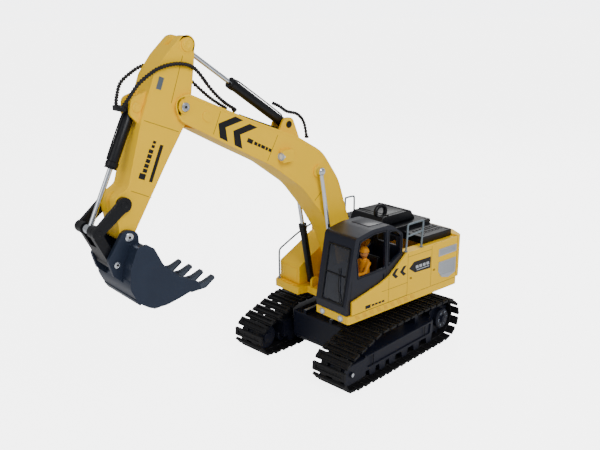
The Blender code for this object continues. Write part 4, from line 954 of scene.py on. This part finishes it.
def pin_heads(joint_xz, reach, radius, name, body, finish, nodes=(), socket=True, height=1.6):
    parts, sockets = [], []
    for sign in (1, -1):
        foot = place(joint_xz[0], sign * reach, joint_xz[1])
        out = Vector((0, sign, 0))
        parts.append(turned([(0, 0), (radius, 0), (radius + 0.2, 0.3), (radius + 0.1, height * 0.7),
                             (radius - 0.5, height), (radius * 0.62, height), (radius * 0.55, height * 0.8),
                             (0, height * 0.8)], foot, foot + out, 32))
        sockets.append(turned([(0, height * 0.7), (radius * 0.36, height * 0.7),
                               (radius * 0.36, height * 0.86), (0, height * 0.86)], foot, foot + out, 6))
    if nodes:
        parts.append(turned([(0, -reach), (PIN_RADIUS, -reach), (PIN_RADIUS, reach), (0, reach)],
                            place(joint_xz[0], 0, joint_xz[1]), place(joint_xz[0], 1, joint_xz[1]), 28))
    put(joined(parts), name, body, finish, nodes)
    # Each socket is a dark hexagon disc, painted shade of the hole in the pin's head.
    if socket:
        put(joined(sockets), name + "_sockets", body, EYE_PAINT_AND_SOCKET_SHADE, smooth=20)
    else:
        for part in sockets:
            part.free()


boom_pin = from_axis(pivot_of("boom_lift"))
arm_pin = from_axis(pivot_of("arm_swing"))
bucket_pin = from_axis(pivot_of("bucket_curl"))
pin_heads((boom_pin.x, boom_pin.z), 21.5, 4.0, "boom_foot_pin_turned", "house", STEEL, ["boom_foot_pin"])
pin_heads((arm_pin.x, arm_pin.z), 18.9, 4.0, "arm_pin_turned", "boom", STEEL, ["arm_pin"])
pin_heads((bucket_pin.x, bucket_pin.z), 18.0, 3.9, "bucket_pin_turned", "bucket", STEEL, ["bucket_pin"])
arm_eye = (217.5, 361.4)
bucket_foot = from_axis(pivot_of("bucket_barrel_swing"))
pin_heads(arm_eye, 14.4, 4.2, "arm_top_boss", "arm", YELLOW, (), False, 0.9)
pin_heads((bucket_foot.x, bucket_foot.z), 9.0, 4.4, "bucket_cylinder_boss", "arm", YELLOW, (), False, 1.2)
arm_foot = from_axis(pivot_of("arm_barrel_swing"))
pin_heads((arm_foot.x, arm_foot.z), 8.4, 3.4, "arm_cylinder_foot_boss", "boom", BLACK, (), False, 1.0)
link_low = from_axis(pivot_of("h_link_swing"))
link_top = from_axis(pivot_of("link_swing"))
pin_heads((link_low.x, link_low.z), 17.9, 3.3, "link_end_heads", "links", BLACK, (), False, 0.8)
pin_heads((link_top.x, link_top.z), 17.9, 3.3, "link_top_heads", "links", BLACK, (), False, 0.8)
pin_heads((302.7, 177.9), 18.6, 3.0, "bucket_link_heads", "bucket", STEEL, (), True, 0.8)

# %% [markdown]
# Each cylinder is a turned barrel with a collar, and a plated rod with an eye. Those of the arm and the
# bucket have an oil pipe as well. A barrel turns on its foot pin and a rod slides out of it, so they are
# separate pieces.

# %% Cylinders
CYLINDERS = (("boom_cylinder", "left", "boom_barrel_left", "boom_rod_left", 143.2, 0.5, 22.2, 4.1, 5.4),
             ("boom_cylinder", "right", "boom_barrel_right", "boom_rod_right", 143.2, 0.5, -22.2, 4.1, 5.4),
             ("arm_cylinder", "", "arm_barrel", "arm_rod", 145.0, 0.55, 0.0, 5.0, 8.0),
             ("bucket_cylinder", "", "bucket_barrel", "bucket_rod", 112.6, 0.5, 0.0, 5.0, 8.0))
ROD = 2.3


def eye_ring(centre, outer, inner, half):
    profile = [(outer, -half + 0.3), (outer - 0.3, -half), (inner, -half), (inner, half),
               (outer - 0.3, half), (outer, half - 0.3), (outer, -half + 0.3)]
    return turned(profile, centre, centre + Vector((0, 1, 0)), 32)


for kind, side, barrel_body, rod_body, length, share, y, radius, width in CYLINDERS:
    foot = pivot_of(barrel_body + "_swing")
    along = Vector(JOINTS[rod_body + "_slide"]["axis"]).normalized()
    reach = length * share
    tail = "_" + side if side else ""
    profile = [(0, 2), (radius - 0.6, 2), (radius, 3.4), (radius, reach - 6), (radius + 0.7, reach - 5.4),
               (radius + 0.7, reach - 1.6), (radius + 0.2, reach - 1.2), (radius + 0.2, reach - 0.4),
               (radius + 0.7, reach), (radius + 0.5, reach + 0.8), (ROD + 0.35, reach + 0.8),
               (ROD + 0.35, 9), (0, 9)]
    parts = [turned(profile, foot, foot + along, 40)]
    parts.append(eye_ring(foot, radius - 0.4, 1.9, width / 2))
    lead = along.cross(Vector((0, 1, 0))).normalized()
    if lead.x > 0:
        lead = -lead
    if kind == "bucket_cylinder":
        lead = -lead
    run = [foot + along * 9 * MM + lead * (radius - 0.8) * MM,
           foot + along * 10.5 * MM + lead * (radius + 1.2) * MM,
           foot + along * (reach - 9) * MM + lead * (radius + 1.2) * MM,
           foot + along * (reach - 6.5) * MM + lead * (radius - 0.4) * MM]
    if kind != "boom_cylinder":
        parts.append(swept(smooth_path(run, 1.5 * MM), 0.7, "pipe", 3))
    put(joined(parts), kind + "_barrel" + tail + "_turned", barrel_body, BLACK,
        [kind + "_barrel" + tail])
    eye = foot + along * length * MM
    rod_profile = [(0, reach - 14), (ROD, reach - 14), (ROD, length - 3.4), (0, length - 3.4)]
    rod = [turned(rod_profile, foot, foot + along, 32), eye_ring(eye, ROD + 2.0, 2.0, width / 2)]
    put(joined(rod), kind + "_rod" + tail + "_turned", rod_body, STEEL, [kind + "_rod" + tail])
    if kind == "boom_cylinder":
        spot = eye + Vector((0, math.copysign(width / 2 * MM, y), 0))
        out = Vector((0, math.copysign(1, y), 0))
        put(turned(dome(3.1, 1.0, 0.5), spot, spot + out, 28), f"boom_rod_cap{tail}", rod_body, STEEL)

# %% [markdown]
# The hoses are corrugated: the tube's radius steps up and down along its route. The two hoses over the arm
# run from the boom to the foot of the bucket cylinder on the arm. They hang on no body, so they do not move
# with the arm. The fittings and the block at their ends stand a little clear of the mouldings. The lift
# hose has a fitting at its lower end only.

# %% Hoses
NEAR_HOSE = [(280, 6, 311), (276, 11, 319), (269, 15.5, 330), (257, 16.2, 338.5), (247, 16.2, 343),
             (232, 16.2, 345.5), (218, 16.2, 343.5), (208, 14.5, 337), (194, 11, 322), (182, 9, 311),
             (172, 8, 304), (166, 8, 300.5)]
LIFT_HOSE = [(112, 0, 300.4), (104, 0, 296.8), (94, 0, 290.6), (80, 0, 286.5), (71, 0, 277), (67, 0, 261)]
HOSE_RADIUS = 1.9


def corrugated(route, name):
    path = smooth_path([place(*point) for point in route], 0.55 * MM)
    radii = [1.0 if index % 4 < 2 else 0.68 for index in range(len(path))]
    return swept(path, HOSE_RADIUS, name, 3, radii)


for side, sign in (("left", 1), ("right", -1)):
    route = [(x, sign * y, z) for x, y, z in NEAR_HOSE]
    hose = put(corrugated(route, "hose"), f"arm_hose_{side}_ribbed", "arm", HOSE,
               [f"arm_hose_{side}"], smooth=60)
    hose.parent = None
    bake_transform(hose)
put(corrugated(LIFT_HOSE, "hose"), "lift_hose_ribbed", "boom", HOSE, ["lift_hose"], smooth=60)
shell("boom_hose_line", HOSE, 0)
clip = []
for sign in (1, -1):
    base = place(166, sign * 8, 300.5)
    clip.append(turned(dome(2.4, 3.2, 0.6), base + Vector((-0.0014, 0, -0.0022)),
                       base + Vector((0.004, 0, 0.003)), 20))
base = place(67, 0, 261)
clip.append(turned(dome(2.3, 2.6, 0.5), base - Vector((0, 0, 0.001)), base + Vector((0, 0, 0.002)), 20))
put(joined(clip), "hose_ends_on_boom", "boom", HOSE)
put(joined([block((276.8, 283.0), (-7.4, 7.4), (307.6, 312.4), 0.8)]), "hose_block", "arm", BLACK)

# %% Work light
shell("work_light", YELLOW, 1.2)
spot = place(116.4, 20.8, 249.5)
put(turned(dome(3.4, 3.9, 1.2), spot, spot + Vector((1, 0, 0)), 28), "work_light_glass", "boom", LENS,
    ["work_light_lens"])
rim = turned([(3.5, 2.0), (4.3, 2.0), (4.3, 3.6), (3.9, 4.0), (3.5, 3.6), (3.5, 2.0)], spot,
             spot + Vector((1, 0, 0)), 28)
put(rim, "work_light_ring", "boom", SILVER)

# %% [markdown]
# The bucket: one painted casting with worn caps on its teeth and four strips across its back. The links
# are thick black plates.

# %% Bucket and links
shell("bucket", BUCKET, 0.5)
shell("h_link", BLACK, 0.8)
for side in ("left", "right"):
    shell("tipping_link_" + side, BLACK, 0.9)
tips = []
for index in range(4):
    y = (index - 1.5) * 59 / 3
    tooth = [(228.5, 145.0), (222.5, 146.4), (212.9, 150.0), (211.9, 147.2), (222.0, 140.2), (227.5, 139.4)]
    tips.append(plate(tooth, (y - 2.7, y + 2.7), 0.5))
put(joined(tips), "tooth_caps", "bucket", WORN)
backs = []
for (x0, z0), (x1, z1) in (((253.5, 136.4), (259.5, 134.8)), ((271, 133.6), (277, 133.6)),
                            ((290.0, 140.4), (294.0, 146.4)), ((297.6, 158), (298.4, 165))):
    run = Vector((x1 - x0, z1 - z0)).normalized()
    out = Vector((run.y, -run.x)) * 0.5
    corners = [(x0 + out.x, z0 + out.y), (x1 + out.x, z1 + out.y), (x1 - 4 * out.x, z1 - 4 * out.y),
               (x0 - 4 * out.x, z0 - 4 * out.y)]
    backs.append(plate(corners, (-31.0, 31.0), 0.4))
put(joined(backs), "bucket_back_strips", "bucket", BUCKET)

# %% [markdown]
# The studio: a wide flat floor and a pale sky that both look white to the camera, a soft key light on the
# left, a wide fill in front and a rim light behind, so that the yellow reads bright and the black parts
# keep soft highlights.

# %% Studio
def soft_light(name, at, size, power, target):
    data = bpy.data.lights.new(name, "AREA")
    data.shape = "DISK"
    data.size = size
    data.energy = power
    lamp = bpy.data.objects.new(name, data)
    bpy.context.scene.collection.objects.link(lamp)
    lamp.location = at
    lamp.rotation_mode = "QUATERNION"
    lamp.rotation_quaternion = (Vector(target) - Vector(at)).to_track_quat("-Z", "Y")


FLOOR_GLOW = 4.6


def make_floor():
    bm = bmesh.new()
    bmesh.ops.create_grid(bm, x_segments=2, y_segments=2, size=60.0)
    bmesh.ops.translate(bm, verts=bm.verts, vec=(0, 0, cad_box[0].z - 0.0002))
    mesh = bpy.data.meshes.new("floor")
    bm.to_mesh(mesh)
    bm.free()
    floor = bpy.data.objects.new("floor", mesh)
    bpy.context.scene.collection.objects.link(floor)
    paint = bpy.data.materials.new("pale studio floor")
    paint.use_nodes = True
    shader = paint.node_tree.nodes["Principled BSDF"]
    shader.inputs["Base Color"].default_value = (0.86, 0.86, 0.87, 1)
    shader.inputs["Roughness"].default_value = 0.7
    shader.inputs["Emission Color"].default_value = (1, 1, 1, 1)
    seen = paint.node_tree.nodes.new("ShaderNodeLightPath")
    glow = paint.node_tree.nodes.new("ShaderNodeMath")
    glow.operation = "MULTIPLY"
    glow.inputs[1].default_value = FLOOR_GLOW
    new_link(paint.node_tree, seen.outputs["Is Camera Ray"], glow.inputs[0])
    new_link(paint.node_tree, glow.outputs[0], shader.inputs["Emission Strength"])
    mesh.materials.append(paint)


make_floor()
MIDDLE_OF_TOY = (0, 0, 0.15)
for name, at, size, power in (("key", (0.2, 1.3, 1.2), 0.9, 17), ("fill", (1.5, 0.2, 0.7), 1.2, 6),
                              ("rim", (-1.2, -0.7, 1.2), 0.8, 10)):
    soft_light(name, at, size, power, MIDDLE_OF_TOY)
SKY_LIGHT = 0.42
SKY_SEEN = 5.0
world = bpy.data.worlds.new("pale sky")
world.use_nodes = True
tree = world.node_tree
tree.nodes["Background"].inputs["Color"].default_value = (0.97, 0.98, 1.0, 1)
seen = tree.nodes.new("ShaderNodeLightPath")
bright = tree.nodes.new("ShaderNodeMapRange")
bright.inputs["To Min"].default_value = SKY_LIGHT
bright.inputs["To Max"].default_value = SKY_SEEN
new_link(tree, seen.outputs["Is Camera Ray"], bright.inputs["Value"])
new_link(tree, bright.outputs[0], tree.nodes["Background"].inputs["Strength"])
bpy.context.scene.world = world
print("lights:", len(bpy.data.lights))
